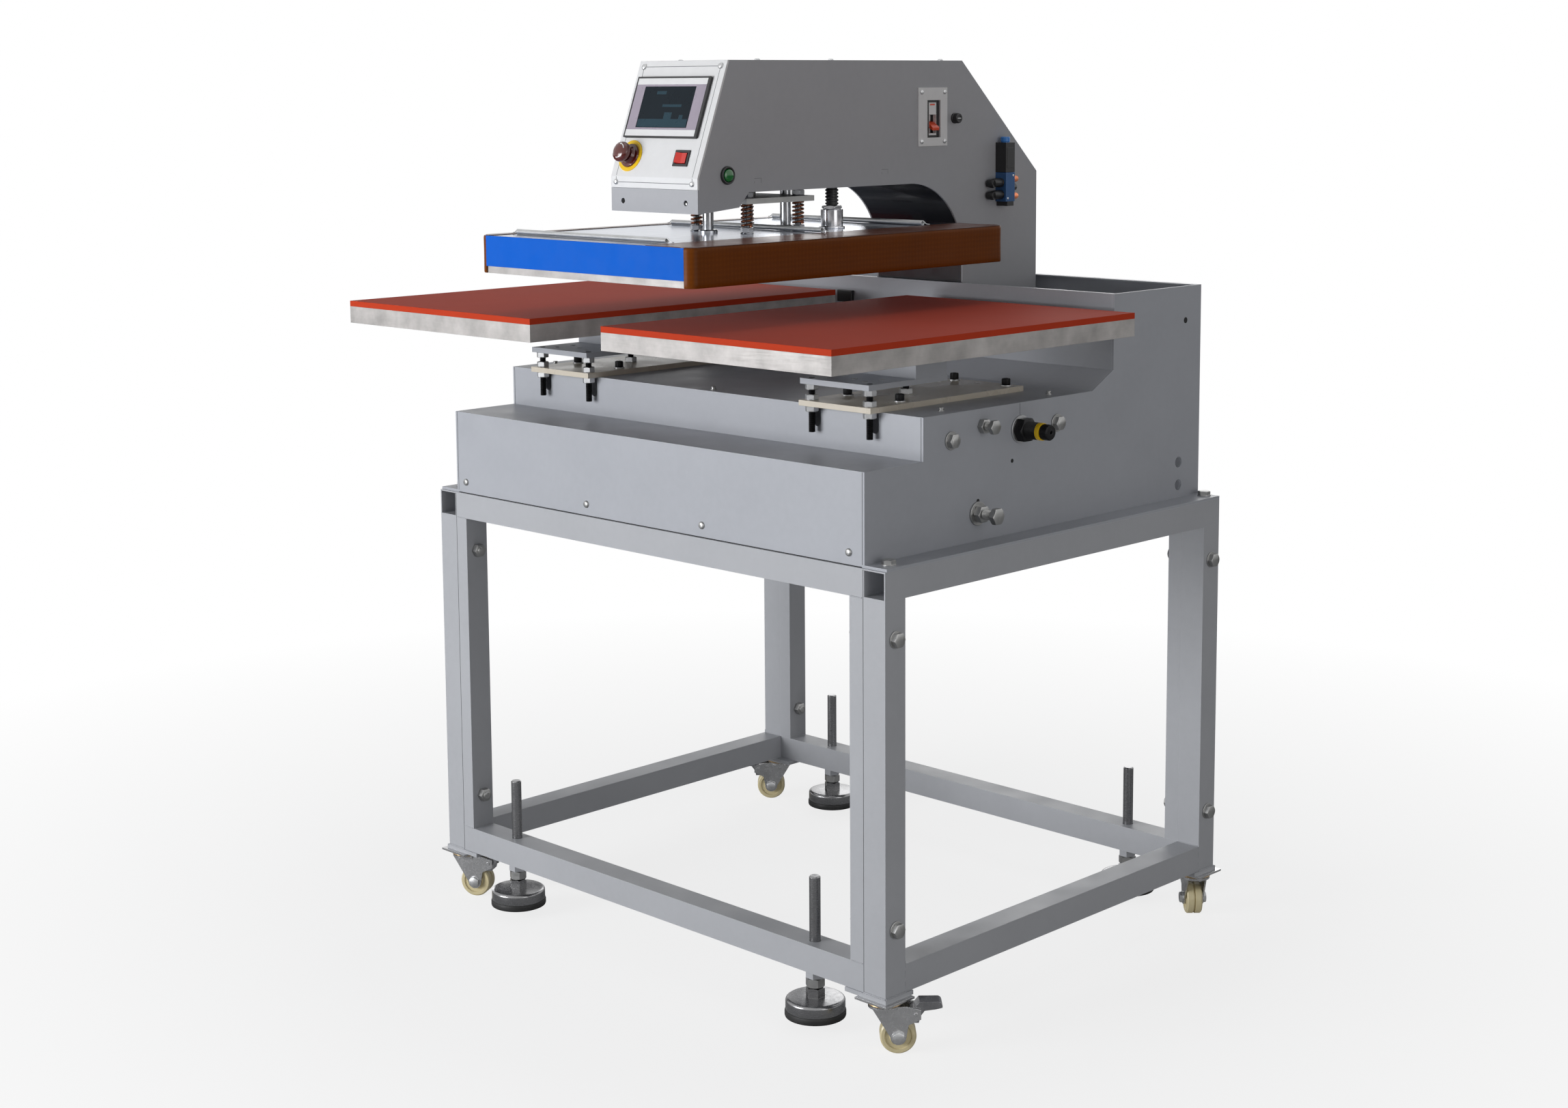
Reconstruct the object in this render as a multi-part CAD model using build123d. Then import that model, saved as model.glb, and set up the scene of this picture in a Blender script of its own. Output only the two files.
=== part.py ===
from build123d import *
import math
import os

# Dual station heat press: a moving head with one heating platen serves two lower platens.
# Millimetres. X along the width, Y from the operator to the back, Z up from the floor.
# The model is laid out about the middle of the stand and moved by ORIGIN_Y when it is written.

# Fits and clearances
RUN_FIT = 0.05
GAP = 0.3
BOLT_CLEAR = 0.3

# Stand of square tube
STAND_W = 963.0
STAND_D = 769.0
TUBE = 40.0
TUBE_WALL = 2.0
POST_W = 25.0
LEG_BOTTOM = 83.0
RAIL_TOP = 672.0
LEG_PLATE_T = 6.0
LEG_PLATE_W = 76.0
LEG_PLATE_D = 56.0
LEG_PLATE_PROUD = 2.5
FRAME_BOLT_LOW = 93.5
FRAME_BOLT_HIGH = 495.5
FRAME_BOLT_R = 6.0

# Swivel casters
WHEEL_R = 25.0
WHEEL_W = 24.0
AXLE_R = 4.0
CASTER_TRAIL = 18.0
CASTER_PLATE = 58.0
CASTER_PLATE_T = 3.0
RACE_R = 23.0
RACE_H = 6.0
KINGPIN_R = 5.0
FORK_T = 3.0
CHEEK_T = 2.5
PEDAL_REACH = 78.0
PEDAL_PIN_R = 2.5
PEDAL_PIN_X = 42.0
PEDAL_PIN_DROP = 20.0
CASTER_SCREW_R = 5.0
CASTER_TURN = {"fl": 30.0, "fr": 45.0, "rl": 225.0, "rr": 135.0}

# Levelling feet
FOOT_X = 330.0
FOOT_R = 43.5
FOOT_LIFT = 14.0
FOOT_RUBBER_H = 10.0
FOOT_CUP_H = 18.0
FOOT_NECK_H = 14.0
STEM_R = 8.0
STEM_TOP = 217.0
STEM_NUT_H = 13.4
WELD_NUT_H = 13.0

# Cabinet of sheet metal
CAB_HALF = 441.5
SIDE_T = 4.0
SHEET_T = 2.0
CAB_SETBACK = 3.2
STEP_H = 129.7
DECK_H = 190.5
BOX_H = 330.3
RISER_Y = -263.3
CHAMFER_Y = 112.0
CHAMFER_H = 26.5
WALL_Y = 163.0
DECK_T = 3.0
WALL_FLANGE = 8.0
FLANGE_W = 40.0
NOTCH_W = 14.0
NOTCH_DEPTH = 31.0

# Cross beams, rails and the traverse drive below the deck
BEAM_W = 40.0
BEAM_H = 70.0
BEAM_WALL = 3.0
BEAM_FRONT_Y = -206.0
BEAM_REAR_Y = 28.0
LINEAR_W = 15.0
LINEAR_H = 15.0
BLOCK_W = 34.0
BLOCK_L = 60.0
BLOCK_H = 24.0
BLOCK_DROP = 28.0
BLOCK_SPREAD = 70.0
CARRIAGE_HALF = 105.0
CARRIAGE_T = 12.0
CARRIAGE_FRONT = -240.0
DRIVE_Y = -149.0
DRIVE_SIZE = 40.0
SHUTTLE_H = 14.0
SHUTTLE_L = 100.0
STOP_PLATE_T = 8.0
STOP_PLATE_H = 84.0
ABSORBER_Y = -56.0
ABSORBER_R = 12.5
ABSORBER_OUT = 57.0
STOP_Y = -139.0
STOP_DROP = 24.5
STOP_R = 6.0
DRIVE_BOLT_R = 7.0
DRIVE_BOLT_OUT = 40.0

# Press stations
STATION_X = 297.0
PLATEN_Y = -206.0
PLATEN_W = 440.0
PLATEN_D = 634.0
PLATEN_T = 25.6
PAD_T = 8.6
BASE_W = 138.0
BASE_FRONT = -287.0
BASE_REAR = 45.0
BASE_T = 8.0
TABLE_W = 132.0
TABLE_REAR = -122.0
TABLE_GAP = 23.5
TABLE_T = 8.0
RISER_BOX_D = 66.0
RISER_BOX_H = 40.8
RISER_FLANGE_T = 6.0
STUD_R = 5.0
STUD_X = 55.5
STUD_INSET = 13.0
STUD_REAR_Y = -137.0
STUD_BOTTOM = 38.0
CAP_SCREW_X = 50.0
CAP_R = 4.0
PLATEN_BOLT_Y = -258.0

# Press head with the heating platen
PRESS_OPENING = 62.0
HEATER_W = 449.0
HEATER_D = 648.0
HEATER_T = 25.0
COVER_SHEET = 2.0
GUARD_H = 54.0
GUARD_T = 2.5
GUARD_R = 15.0
FRONT_STRIP = 10.0
FLAP_T = 1.2
FLAP_RIGHT = 90.0
FLAP_LEFT = 22.0
COVER_SPRING_R = 4.0
COVER_SPRING_Y = (-483.0, -178.0, 42.0)
COVER_SPRING_INSET = 8.0
HANGER_GAP = 43.0
HANGER_SIZE = 140.0
HANGER_T = 8.0
SPRING_X = 53.0
SPRING_BOLT_R = 5.0
SPRING_COIL_R = 7.3
SPRING_WIRE_R = 1.5
SPRING_TURNS = 6
POST_R = 8.0
POST_Y = 80.0
POST_TOP = 165.0
ROD_R = 12.5
PISTON_R = 50.0
PISTON_T = 20.0
CYLINDER_SIZE = 114.0
CYLINDER_H = 118.0
CYLINDER_CAP = 12.0
MOUNT_T = 12.0
MOUNT_FRONT = -318.0
MOUNT_REAR = -105.0
BUSH_R = 13.0
BUSH_H = 28.0
TERMINAL_X = 60.0
TERMINAL_Y = 118.0
TERMINAL_W = 40.0
TERMINAL_D = 44.0
TERMINAL_H = 34.0
CONDUIT_R = 10.0
CONDUIT_BORE = 7.0
CONDUIT_PITCH = 5.0
CONDUIT_TOP = 136.0

# Head shell
HEAD_X = 45.0
HEAD_W = 182.0
HEAD_T = 3.0
HEAD_GAP = 10.7
HEAD_H = 186.6
HEAD_FRONT = -391.8
HEAD_TOP_FRONT = -330.8
HEAD_NOSE_DROP = 27.6
HEAD_BEND_H = 22.3
HEAD_NOSE_REAR = -311.0
HEAD_UNDER_FRONT = -291.5
HEAD_TOP_REAR = 173.8
COLUMN_FRONT = 176.9
COLUMN_REAR = 359.5
COLUMN_SHOULDER = 10.7
ARCH_R = 121.0
PANEL_T = 3.0
PANEL_LIP = 16.0

# Controls on the panel, measured along its slope from the bend and across from the head's middle
SCREEN_W = 154.0
SCREEN_H = 92.0
SCREEN_AT = (-6.0, 104.0)
SCREEN_PROUD = 4.0
STOP_AT = (-60.0, 31.0)
STOP_RING_R = 20.0
STOP_CAP_R = 15.0
ROCKER_AT = (49.0, 29.0)
ROCKER_W = 30.0
ROCKER_H = 24.0
ROCKER_PIVOT = 1.0
ROCKER_PIN_R = 1.2
ROCKER_TIP = 8.0

# Controls on the right side of the head
BREAKER_Y = (70.0, 137.0)
BREAKER_Z = (56.3, 145.6)
WINDOW_Y = (90.5, 121.0)
WINDOW_Z = (69.3, 126.3)
LEVER_Z = 90.0
LEVER_DEPTH = 7.5
LEVER_PIN_R = 1.5
FUSE_AT = (155.5, 98.0)
FUSE_R = 8.0
BUTTON_AT = (-334.4, 25.2)
BUTTON_RING_R = 13.0
BUTTON_R = 9.0
VALVE_Y = 267.0
VALVE_W = 22.0
VALVE_BASE = -41.7

# Heights and places worked out from the sizes above
HALF_W = STAND_W / 2
HALF_D = STAND_D / 2
LEG_X = HALF_W - TUBE / 2
LEG_Y = HALF_D - TUBE / 2
FRONT_Y = -HALF_D + CAB_SETBACK
REAR_Y = HALF_D
STEP_TOP = RAIL_TOP + STEP_H
DECK_TOP = RAIL_TOP + DECK_H
BOX_TOP = RAIL_TOP + BOX_H
COVER_HALF = CAB_HALF - SIDE_T
BEAM_TOP = DECK_TOP - DECK_T
BEAM_BOTTOM = BEAM_TOP - BEAM_H
BEAM_MID = BEAM_TOP - BEAM_H / 2
BLOCK_BOTTOM = BEAM_BOTTOM - BLOCK_DROP
CARRIAGE_BOTTOM = BLOCK_BOTTOM - CARRIAGE_T
DRIVE_TOP = CARRIAGE_BOTTOM - SHUTTLE_H - GAP
DRIVE_Z = DRIVE_TOP - DRIVE_SIZE / 2
STOP_Z = DECK_TOP - STOP_DROP
TRAVEL_END = STATION_X + CARRIAGE_HALF
BASE_TOP = DECK_TOP + BASE_T
TABLE_BOTTOM = BASE_TOP + TABLE_GAP
TABLE_TOP = TABLE_BOTTOM + TABLE_T
FLANGE_TOP = TABLE_TOP + RISER_BOX_H + RISER_FLANGE_T
PLATEN_TOP = FLANGE_TOP + PLATEN_T
PAD_TOP = PLATEN_TOP + PAD_T
HEATER_BOTTOM = PAD_TOP + PRESS_OPENING
HEATER_TOP = HEATER_BOTTOM + HEATER_T
COVER_TOP = HEATER_BOTTOM + GUARD_H
HANGER_BOTTOM = COVER_TOP + HANGER_GAP
HANGER_TOP = HANGER_BOTTOM + HANGER_T
HEAD_UNDER = HANGER_TOP + HEAD_GAP
HEAD_TOP = HEAD_UNDER + HEAD_H
HEAD_BEND = HEAD_UNDER + HEAD_BEND_H
HEAD_INNER = HEAD_W / 2 - HEAD_T
HEAD_RIGHT = HEAD_X + HEAD_W / 2
MOUNT_BOTTOM = HEAD_UNDER + GAP
MOUNT_TOP = MOUNT_BOTTOM + MOUNT_T
CORNERS = {"fl": (-1, -1), "fr": (1, -1), "rl": (-1, 1), "rr": (1, 1)}
STATIONS = (-STATION_X, STATION_X)

# Middle of the footprint: from the heater's front to the corner of the rear right brake pedal
PEDAL_HALF = WHEEL_W / 2
REACH_FRONT = PLATEN_Y - HEATER_D / 2
REACH_REAR = LEG_Y + (PEDAL_REACH + PEDAL_HALF) * math.sin(math.radians(CASTER_TURN["rr"]))
ORIGIN_Y = (REACH_FRONT + REACH_REAR) / 2


# Basic shapes, all placed in the machine's own axes

def block(x, y, z):
    """A box between the pairs of limits x, y and z."""
    centre = Pos((x[0] + x[1]) / 2, (y[0] + y[1]) / 2, (z[0] + z[1]) / 2)
    return centre * Box(x[1] - x[0], y[1] - y[0], z[1] - z[0])


def rod_z(x, y, low, high, r):
    return Pos(x, y, (low + high) / 2) * Cylinder(r, high - low)


def rod_x(y, z, low, high, r):
    return Pos((low + high) / 2, y, z) * Rot(0, 90, 0) * Cylinder(r, high - low)


def rod_y(x, z, low, high, r):
    return Pos(x, (low + high) / 2, z) * Rot(90, 0, 0) * Cylinder(r, high - low)


def hex_z(x, y, low, high, across):
    """A hexagon prism that stands on Z, by its width across the flats."""
    face = Pos(x, y, low) * RegularPolygon(across / 2, 6, major_radius=False)
    return extrude(face, amount=high - low, dir=(0, 0, 1))


def hex_x(y, z, low, high, across):
    """A hexagon prism that lies along X, by its width across the flats."""
    face = Pos(low, y, z) * Rot(0, 90, 0) * RegularPolygon(across / 2, 6, major_radius=False)
    return extrude(face, amount=high - low, dir=(1, 0, 0))


def across_x(face, low, high):
    """A face drawn with its u along Y and its v along Z, extruded from X low to X high."""
    return extrude(Plane.YZ.offset(low) * face, amount=high - low, dir=(1, 0, 0))


def polygon(points):
    return make_face(Polyline(*points, close=True))


def bent_sheet(path, t):
    """The outline of a sheet of thickness t bent along a path, with the metal on the path's right."""
    normals = []
    for (u0, v0), (u1, v1) in zip(path, path[1:]):
        length = math.hypot(u1 - u0, v1 - v0)
        normals.append(((v1 - v0) / length, (u0 - u1) / length))
    inner = []
    for i, (u, v) in enumerate(path):
        a = normals[max(i - 1, 0)]
        b = normals[min(i, len(normals) - 1)]
        k = t / (1 + a[0] * b[0] + a[1] * b[1])
        inner.append((u + k * (a[0] + b[0]), v + k * (a[1] + b[1])))
    return polygon(path + inner[::-1])


def square_tube(x, y, z, wall, axis):
    """A hollow box section between limits, open at both ends along one axis."""
    limits = {"x": x, "y": y, "z": z}
    inner = {}
    for name, (low, high) in limits.items():
        inner[name] = (low, high) if name == axis else (low + wall, high - wall)
    return block(x, y, z) - block(inner["x"], inner["y"], inner["z"])


def pan_screw(r, h):
    """A pan head that stands on the plane Z = 0."""
    profile = make_face([
        Polyline((r * 0.3, h), (0, h), (0, 0), (r, 0), (r, h * 0.35)),
        ThreePointArc((r, h * 0.35), (r * 0.78, h * 0.8), (r * 0.3, h)),
    ])
    return revolve(Plane.XZ * profile, Axis.Z)


def save(node, *pieces):
    """Write one node: every solid of its pieces, in the part's own frame."""
    solids = []
    for piece in pieces:
        solids += (Pos(0, -ORIGIN_Y, 0) * piece).solids()
    export_step(Compound(solids), f"parts/{node}.step")


# Stand

def frame_bolt_holes():
    """Clearance bores for the bolts that join the side frames to the cross frames."""
    holes = []
    for side, end in CORNERS.values():
        for rise in (FRAME_BOLT_LOW, FRAME_BOLT_HIGH):
            outer = side * (HALF_W + 1)
            inner = side * (HALF_W - TUBE - POST_W - 1)
            low, high = sorted((inner, outer))
            holes.append(rod_x(end * LEG_Y, LEG_BOTTOM + rise, low, high, FRAME_BOLT_R + BOLT_CLEAR))
    return holes


def side_frame(side):
    """Upper rail with open ends, two legs, a lower rail between them and the leg plates."""
    x = tuple(sorted((side * (HALF_W - TUBE), side * HALF_W)))
    pieces = [square_tube(x, (-HALF_D, HALF_D), (RAIL_TOP - TUBE, RAIL_TOP), TUBE_WALL, "y")]
    low_y = (-HALF_D + TUBE, HALF_D - TUBE)
    pieces.append(square_tube(x, low_y, (LEG_BOTTOM, LEG_BOTTOM + TUBE), TUBE_WALL, "y"))
    holes = frame_bolt_holes()
    for end in (-1, 1):
        y = tuple(sorted((end * (HALF_D - TUBE), end * HALF_D)))
        leg = square_tube(x, y, (LEG_BOTTOM, RAIL_TOP - TUBE), TUBE_WALL, "z") - holes
        outer_x, outer_y = HALF_W + LEG_PLATE_PROUD, HALF_D + LEG_PLATE_PROUD
        plate = block(sorted((side * outer_x, side * (outer_x - LEG_PLATE_W))),
                      sorted((end * outer_y, end * (outer_y - LEG_PLATE_D))),
                      (LEG_BOTTOM - LEG_PLATE_T, LEG_BOTTOM))
        pieces += [leg, plate]
    return pieces


def cross_frame(end):
    """Upper and lower rail between the side frames, with an inner post at each leg."""
    y = tuple(sorted((end * (HALF_D - TUBE), end * HALF_D)))
    inner = HALF_W - TUBE
    pieces = [square_tube((-inner, inner), y, (RAIL_TOP - TUBE, RAIL_TOP), TUBE_WALL, "x")]
    lower = square_tube((-inner, inner), y, (LEG_BOTTOM, LEG_BOTTOM + TUBE), TUBE_WALL, "x")
    for side in (-1, 1):
        pieces.append(foot_nut(side, end, LEG_BOTTOM - WELD_NUT_H, LEG_BOTTOM))
    for side in (-1, 1):
        lower -= rod_z(side * FOOT_X, end * LEG_Y, LEG_BOTTOM - 1, LEG_BOTTOM + TUBE + 1, STEM_R + BOLT_CLEAR)
        x = tuple(sorted((side * (inner - POST_W), side * inner)))
        post_z = (LEG_BOTTOM + TUBE, RAIL_TOP - TUBE)
        pieces.append(square_tube(x, y, post_z, TUBE_WALL, "z") - frame_bolt_holes())
    return pieces + [lower]


def frame_bolt(side, y, z):
    """Hex bolt with its washer outside the leg, and the nut inside the post."""
    outer = side * HALF_W
    inner = side * (HALF_W - TUBE - POST_W)
    span = lambda a, b: tuple(sorted((side * a, side * b)))
    head = hex_x(y, z, *span(HALF_W + 2, HALF_W + 9.5), 19)
    washer = rod_x(y, z, *span(HALF_W, HALF_W + 2), 12)
    shank = rod_x(y, z, *sorted((inner - side * 12, outer)), FRAME_BOLT_R)
    nut = hex_x(y, z, *sorted((inner - side * 10, inner)), 19)
    bore = rod_x(y, z, *sorted((inner - side * 11, inner + side)), FRAME_BOLT_R + RUN_FIT)
    return [head + washer + shank, nut - bore]


def foot_nut(side, end, low, high):
    """A nut on the stem of one levelling foot: the one welded under the rail or the lock nut."""
    x, y = side * FOOT_X, end * LEG_Y
    return hex_z(x, y, low, high, 24) - rod_z(x, y, low - 1, high + 1, STEM_R + RUN_FIT)


def caster_screw(side, end):
    """Low head of the screw that holds the caster's plate, next to the leg."""
    x = side * (HALF_W + LEG_PLATE_PROUD - LEG_PLATE_W + CASTER_SCREW_R + 1)
    low = LEG_BOTTOM - LEG_PLATE_T
    return rod_z(x, end * (LEG_Y + 8), low - 2.4, low, CASTER_SCREW_R)


def levelling_foot(side, end):
    """Rubber ring, pressed steel cup with its hexagon neck, and threaded stem of one levelling foot."""
    x, y = side * FOOT_X, end * LEG_Y
    place = Pos(x, y, FOOT_LIFT)
    rubber_h = FOOT_RUBBER_H
    rubber = revolve(Plane.XZ * polygon([
        (0, 0), (FOOT_R - 1.5, 0), (FOOT_R, 1.5), (FOOT_R, rubber_h - 1.5), (FOOT_R - 2, rubber_h),
        (0, rubber_h),
    ]), Axis.Z)
    cup_top = rubber_h + FOOT_CUP_H
    cup_r = FOOT_R - 1.5
    cup_face = make_face([
        Polyline((0, cup_top), (0, rubber_h), (cup_r, rubber_h), (cup_r, cup_top - 4)),
        ThreePointArc((cup_r, cup_top - 4), (cup_r - 0.9, cup_top - 1.8), (cup_r - 3, cup_top - 1)),
        Line((cup_r - 3, cup_top - 1), (0, cup_top)),
    ])
    cup = revolve(Plane.XZ * cup_face, Axis.Z)
    neck_top = cup_top + FOOT_NECK_H
    neck = hex_z(0, 0, cup_top - 1, neck_top, 24)
    cup = cup + neck
    top = STEM_TOP - FOOT_LIFT
    stem = Cylinder(STEM_R, top - neck_top)
    stem = Pos(0, 0, (top + neck_top) / 2) * chamfer(stem.edges().group_by(Axis.Z)[-1], 1.5)
    return [place * rubber, place * cup, place * stem]


# Casters, drawn with the kingpin on the Z axis and the wheel trailing along +X

CASTER_TOP = LEG_BOTTOM - LEG_PLATE_T
RACE_BOTTOM = CASTER_TOP - CASTER_PLATE_T - RACE_H
FORK_TOP = RACE_BOTTOM - GAP
FORK_UNDER = FORK_TOP - FORK_T
AXLE_Z = WHEEL_R
CHEEK_Y = WHEEL_W / 2 + 1.0
PEDAL_PIN_Z = CASTER_TOP - PEDAL_PIN_DROP


def caster_plate():
    """Fixed top plate with its race and the kingpin whose head holds the fork."""
    plate = block((-CASTER_PLATE / 2, CASTER_PLATE / 2), (-CASTER_PLATE / 2, CASTER_PLATE / 2),
                  (CASTER_TOP - CASTER_PLATE_T, CASTER_TOP))
    race = rod_z(0, 0, RACE_BOTTOM, CASTER_TOP - CASTER_PLATE_T, RACE_R)
    pin = rod_z(0, 0, FORK_UNDER - GAP, RACE_BOTTOM, KINGPIN_R)
    head = rod_z(0, 0, FORK_UNDER - GAP - 3, FORK_UNDER - GAP, KINGPIN_R + 3.5)
    return plate + race + pin + head


def caster_fork():
    """Pressed fork: top disc, two cheeks, the axle bolt and the pedal's pin."""
    disc = rod_z(0, 0, FORK_UNDER, FORK_TOP, RACE_R)
    disc -= rod_z(0, 0, FORK_UNDER - 1, FORK_TOP + 1, KINGPIN_R + RUN_FIT)
    boss = AXLE_R + 7
    cheek_face = make_face([
        Polyline((CASTER_TRAIL - boss, AXLE_Z), (-17, FORK_UNDER), (-17, FORK_TOP), (30, FORK_TOP),
                 (PEDAL_PIN_X + 7, PEDAL_PIN_Z + 6), (PEDAL_PIN_X + 7, PEDAL_PIN_Z - 7),
                 (CASTER_TRAIL + boss + 3, 42),
                 (CASTER_TRAIL + boss, AXLE_Z)),
        ThreePointArc((CASTER_TRAIL + boss, AXLE_Z), (CASTER_TRAIL, AXLE_Z - boss),
                      (CASTER_TRAIL - boss, AXLE_Z)),
    ])
    fork = disc
    for side in (-1, 1):
        low = min(side * CHEEK_Y, side * (CHEEK_Y + CHEEK_T))
        fork += extrude(Plane.XZ.offset(-low) * cheek_face, amount=CHEEK_T, dir=(0, 1, 0))
    reach = CHEEK_Y + CHEEK_T
    axle = rod_y(CASTER_TRAIL, AXLE_Z, -reach - 5, reach + 5, AXLE_R)
    for side in (-1, 1):
        axle += rod_y(CASTER_TRAIL, AXLE_Z, *sorted((side * reach, side * (reach + 4))), AXLE_R + 3.5)
    pin = rod_y(PEDAL_PIN_X, PEDAL_PIN_Z, -reach - 1.5, reach + 1.5, PEDAL_PIN_R)
    return fork + axle + pin


def caster_wheel():
    """Nylon wheel with a groove round the middle of its tread."""
    half = WHEEL_W / 2
    bore = AXLE_R + RUN_FIT
    profile = polygon([
        (bore, -half), (WHEEL_R * 0.45, -half), (WHEEL_R * 0.5, -half + 2), (WHEEL_R * 0.72, -half + 2),
        (WHEEL_R * 0.76, -half), (WHEEL_R - 2, -half), (WHEEL_R, -half + 2), (WHEEL_R, -1.5),
        (WHEEL_R - 2.5, -0.8),
        (WHEEL_R - 2.5, 0.8), (WHEEL_R, 1.5), (WHEEL_R, half - 2), (WHEEL_R - 2, half),
        (WHEEL_R * 0.76, half),
        (WHEEL_R * 0.72, half - 2), (WHEEL_R * 0.5, half - 2), (WHEEL_R * 0.45, half), (bore, half),
    ])
    wheel = revolve(Plane.XZ * profile, Axis.Z)
    return Pos(CASTER_TRAIL, 0, AXLE_Z) * Rot(90, 0, 0) * wheel


def brake_pedal():
    """Foot lever on its pin in the fork, with a pad at its end."""
    half = PEDAL_HALF
    pin_z, x, end = PEDAL_PIN_Z, PEDAL_PIN_X, PEDAL_REACH
    top = CASTER_TOP - CASTER_PLATE_T
    face = make_face([
        Polyline((end - 5, top - 0.6), (x + 5, top - 0.6), (x - 2, pin_z + 8), (x - 8, pin_z + 3),
                 (x - 6, pin_z - 13),
                 (x + 4, pin_z - 13), (x + 6, pin_z - 4), (x + 12, pin_z + 4), (end - 8, pin_z + 6),
                 (end, pin_z + 8)),
        ThreePointArc((end, pin_z + 8), (end - 0.8, top - 3.2), (end - 5, top - 0.6)),
    ])
    lever = extrude(Plane.XZ.offset(half) * face, amount=2 * half, dir=(0, 1, 0))
    return lever - rod_y(x, pin_z, -half - 1, half + 1, PEDAL_PIN_R + RUN_FIT)


def at_leg(key, piece):
    """A caster piece turned and moved under one leg."""
    side, end = CORNERS[key]
    return Pos(side * LEG_X, end * LEG_Y, 0) * Rot(0, 0, CASTER_TURN[key]) * piece


# Cabinet

COVER_PATH = [(FRONT_Y, RAIL_TOP), (FRONT_Y, STEP_TOP), (RISER_Y, STEP_TOP), (RISER_Y, DECK_TOP)]
DECK_PATH = [(RISER_Y + SHEET_T, DECK_TOP), (CHAMFER_Y, DECK_TOP), (WALL_Y, DECK_TOP + CHAMFER_H),
             (WALL_Y, BOX_TOP), (WALL_Y + WALL_FLANGE, BOX_TOP)]
FLANGE_BOLT_Y = (-355.0, 372.0)
CABLE_HOLE_R = 8.5
CABLE_HOLES = ((331.0, 58.8), (331.0, 23.3))


def side_features(side):
    """Bores of a side plate as place and radius; the cables leave through the right one only."""
    holes = [(BEAM_FRONT_Y, BEAM_MID, 6.3), (BEAM_REAR_Y, BEAM_MID, 6.3)]
    holes.append((ABSORBER_Y, BEAM_MID, ABSORBER_R + BOLT_CLEAR))
    holes.append((STOP_Y, STOP_Z, STOP_R + BOLT_CLEAR))
    holes.append((DRIVE_Y, DRIVE_Z, DRIVE_BOLT_R + BOLT_CLEAR))
    if side > 0:
        holes += [(y, RAIL_TOP + rise, CABLE_HOLE_R) for y, rise in CABLE_HOLES]
    return holes


def cabinet_side(side):
    """Side plate with the stepped and chamfered outline and the bottom flange turned outwards."""
    outline = polygon(COVER_PATH + DECK_PATH[1:4] + [(REAR_Y, BOX_TOP), (REAR_Y, RAIL_TOP)])
    x = sorted((side * COVER_HALF, side * CAB_HALF))
    plate = across_x(outline, *x)
    for y, z, r in side_features(side):
        plate -= rod_x(y, z, x[0] - 1, x[1] + 1, r)
    flange = block(sorted((side * CAB_HALF, side * (CAB_HALF + FLANGE_W))), (FRONT_Y, REAR_Y),
                   (RAIL_TOP, RAIL_TOP + SIDE_T))
    return plate + flange


def front_cover():
    """Front, step and riser bent from one sheet, with notches for the front studs of the stations."""
    cover = across_x(bent_sheet(COVER_PATH, SHEET_T), -COVER_HALF, COVER_HALF)
    for station in STATIONS:
        for side in (-1, 1):
            x = station + side * STUD_X
            low = DECK_TOP - NOTCH_DEPTH
            notch_y = (RISER_Y - 1, RISER_Y + SHEET_T + 1)
            cover -= block((x - NOTCH_W / 2, x + NOTCH_W / 2), notch_y, (low + NOTCH_W / 2, DECK_TOP + 1))
            cover -= rod_y(x, low + NOTCH_W / 2, *notch_y, NOTCH_W / 2)
    return cover


def deck_panel():
    """Deck, chamfer and front wall of the rear trough, with the wall's flange at its top."""
    deck = across_x(bent_sheet(DECK_PATH, DECK_T), -COVER_HALF, COVER_HALF)
    for x, y in cap_screw_places():
        deck -= rod_z(x, y, BEAM_TOP - 1, DECK_TOP + 1, CAP_R + BOLT_CLEAR)
    return deck


def rear_panel():
    path = [(REAR_Y - 12, BOX_TOP), (REAR_Y, BOX_TOP), (REAR_Y, RAIL_TOP)]
    return across_x(bent_sheet(path, SHEET_T), -COVER_HALF, COVER_HALF)


def cap_screw_places():
    rows = (BEAM_FRONT_Y, BEAM_REAR_Y)
    return [(s + side * CAP_SCREW_X, y) for s in STATIONS for side in (-1, 1) for y in rows]


def support_beam(y):
    """Cross beam under the deck with the linear rail screwed below it."""
    beam = square_tube((-COVER_HALF, COVER_HALF), (y - BEAM_W / 2, y + BEAM_W / 2), (BEAM_BOTTOM, BEAM_TOP),
                       BEAM_WALL, "x")
    for x, place in cap_screw_places():
        beam -= rod_z(x, place, BEAM_TOP - BEAM_WALL - 1, BEAM_TOP + 1, CAP_R + BOLT_CLEAR)
    reach = COVER_HALF - 20
    half = LINEAR_W / 2
    rail_face = polygon([
        (y - half, BEAM_BOTTOM), (y - half, BEAM_BOTTOM - 5), (y - half + 2, BEAM_BOTTOM - 7.5),
        (y - half, BEAM_BOTTOM - 10), (y - half, BEAM_BOTTOM - LINEAR_H), (y + half, BEAM_BOTTOM - LINEAR_H),
        (y + half, BEAM_BOTTOM - 10), (y + half - 2, BEAM_BOTTOM - 7.5), (y + half, BEAM_BOTTOM - 5),
        (y + half, BEAM_BOTTOM),
    ])
    return [beam, across_x(rail_face, -reach, reach)]


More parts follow.
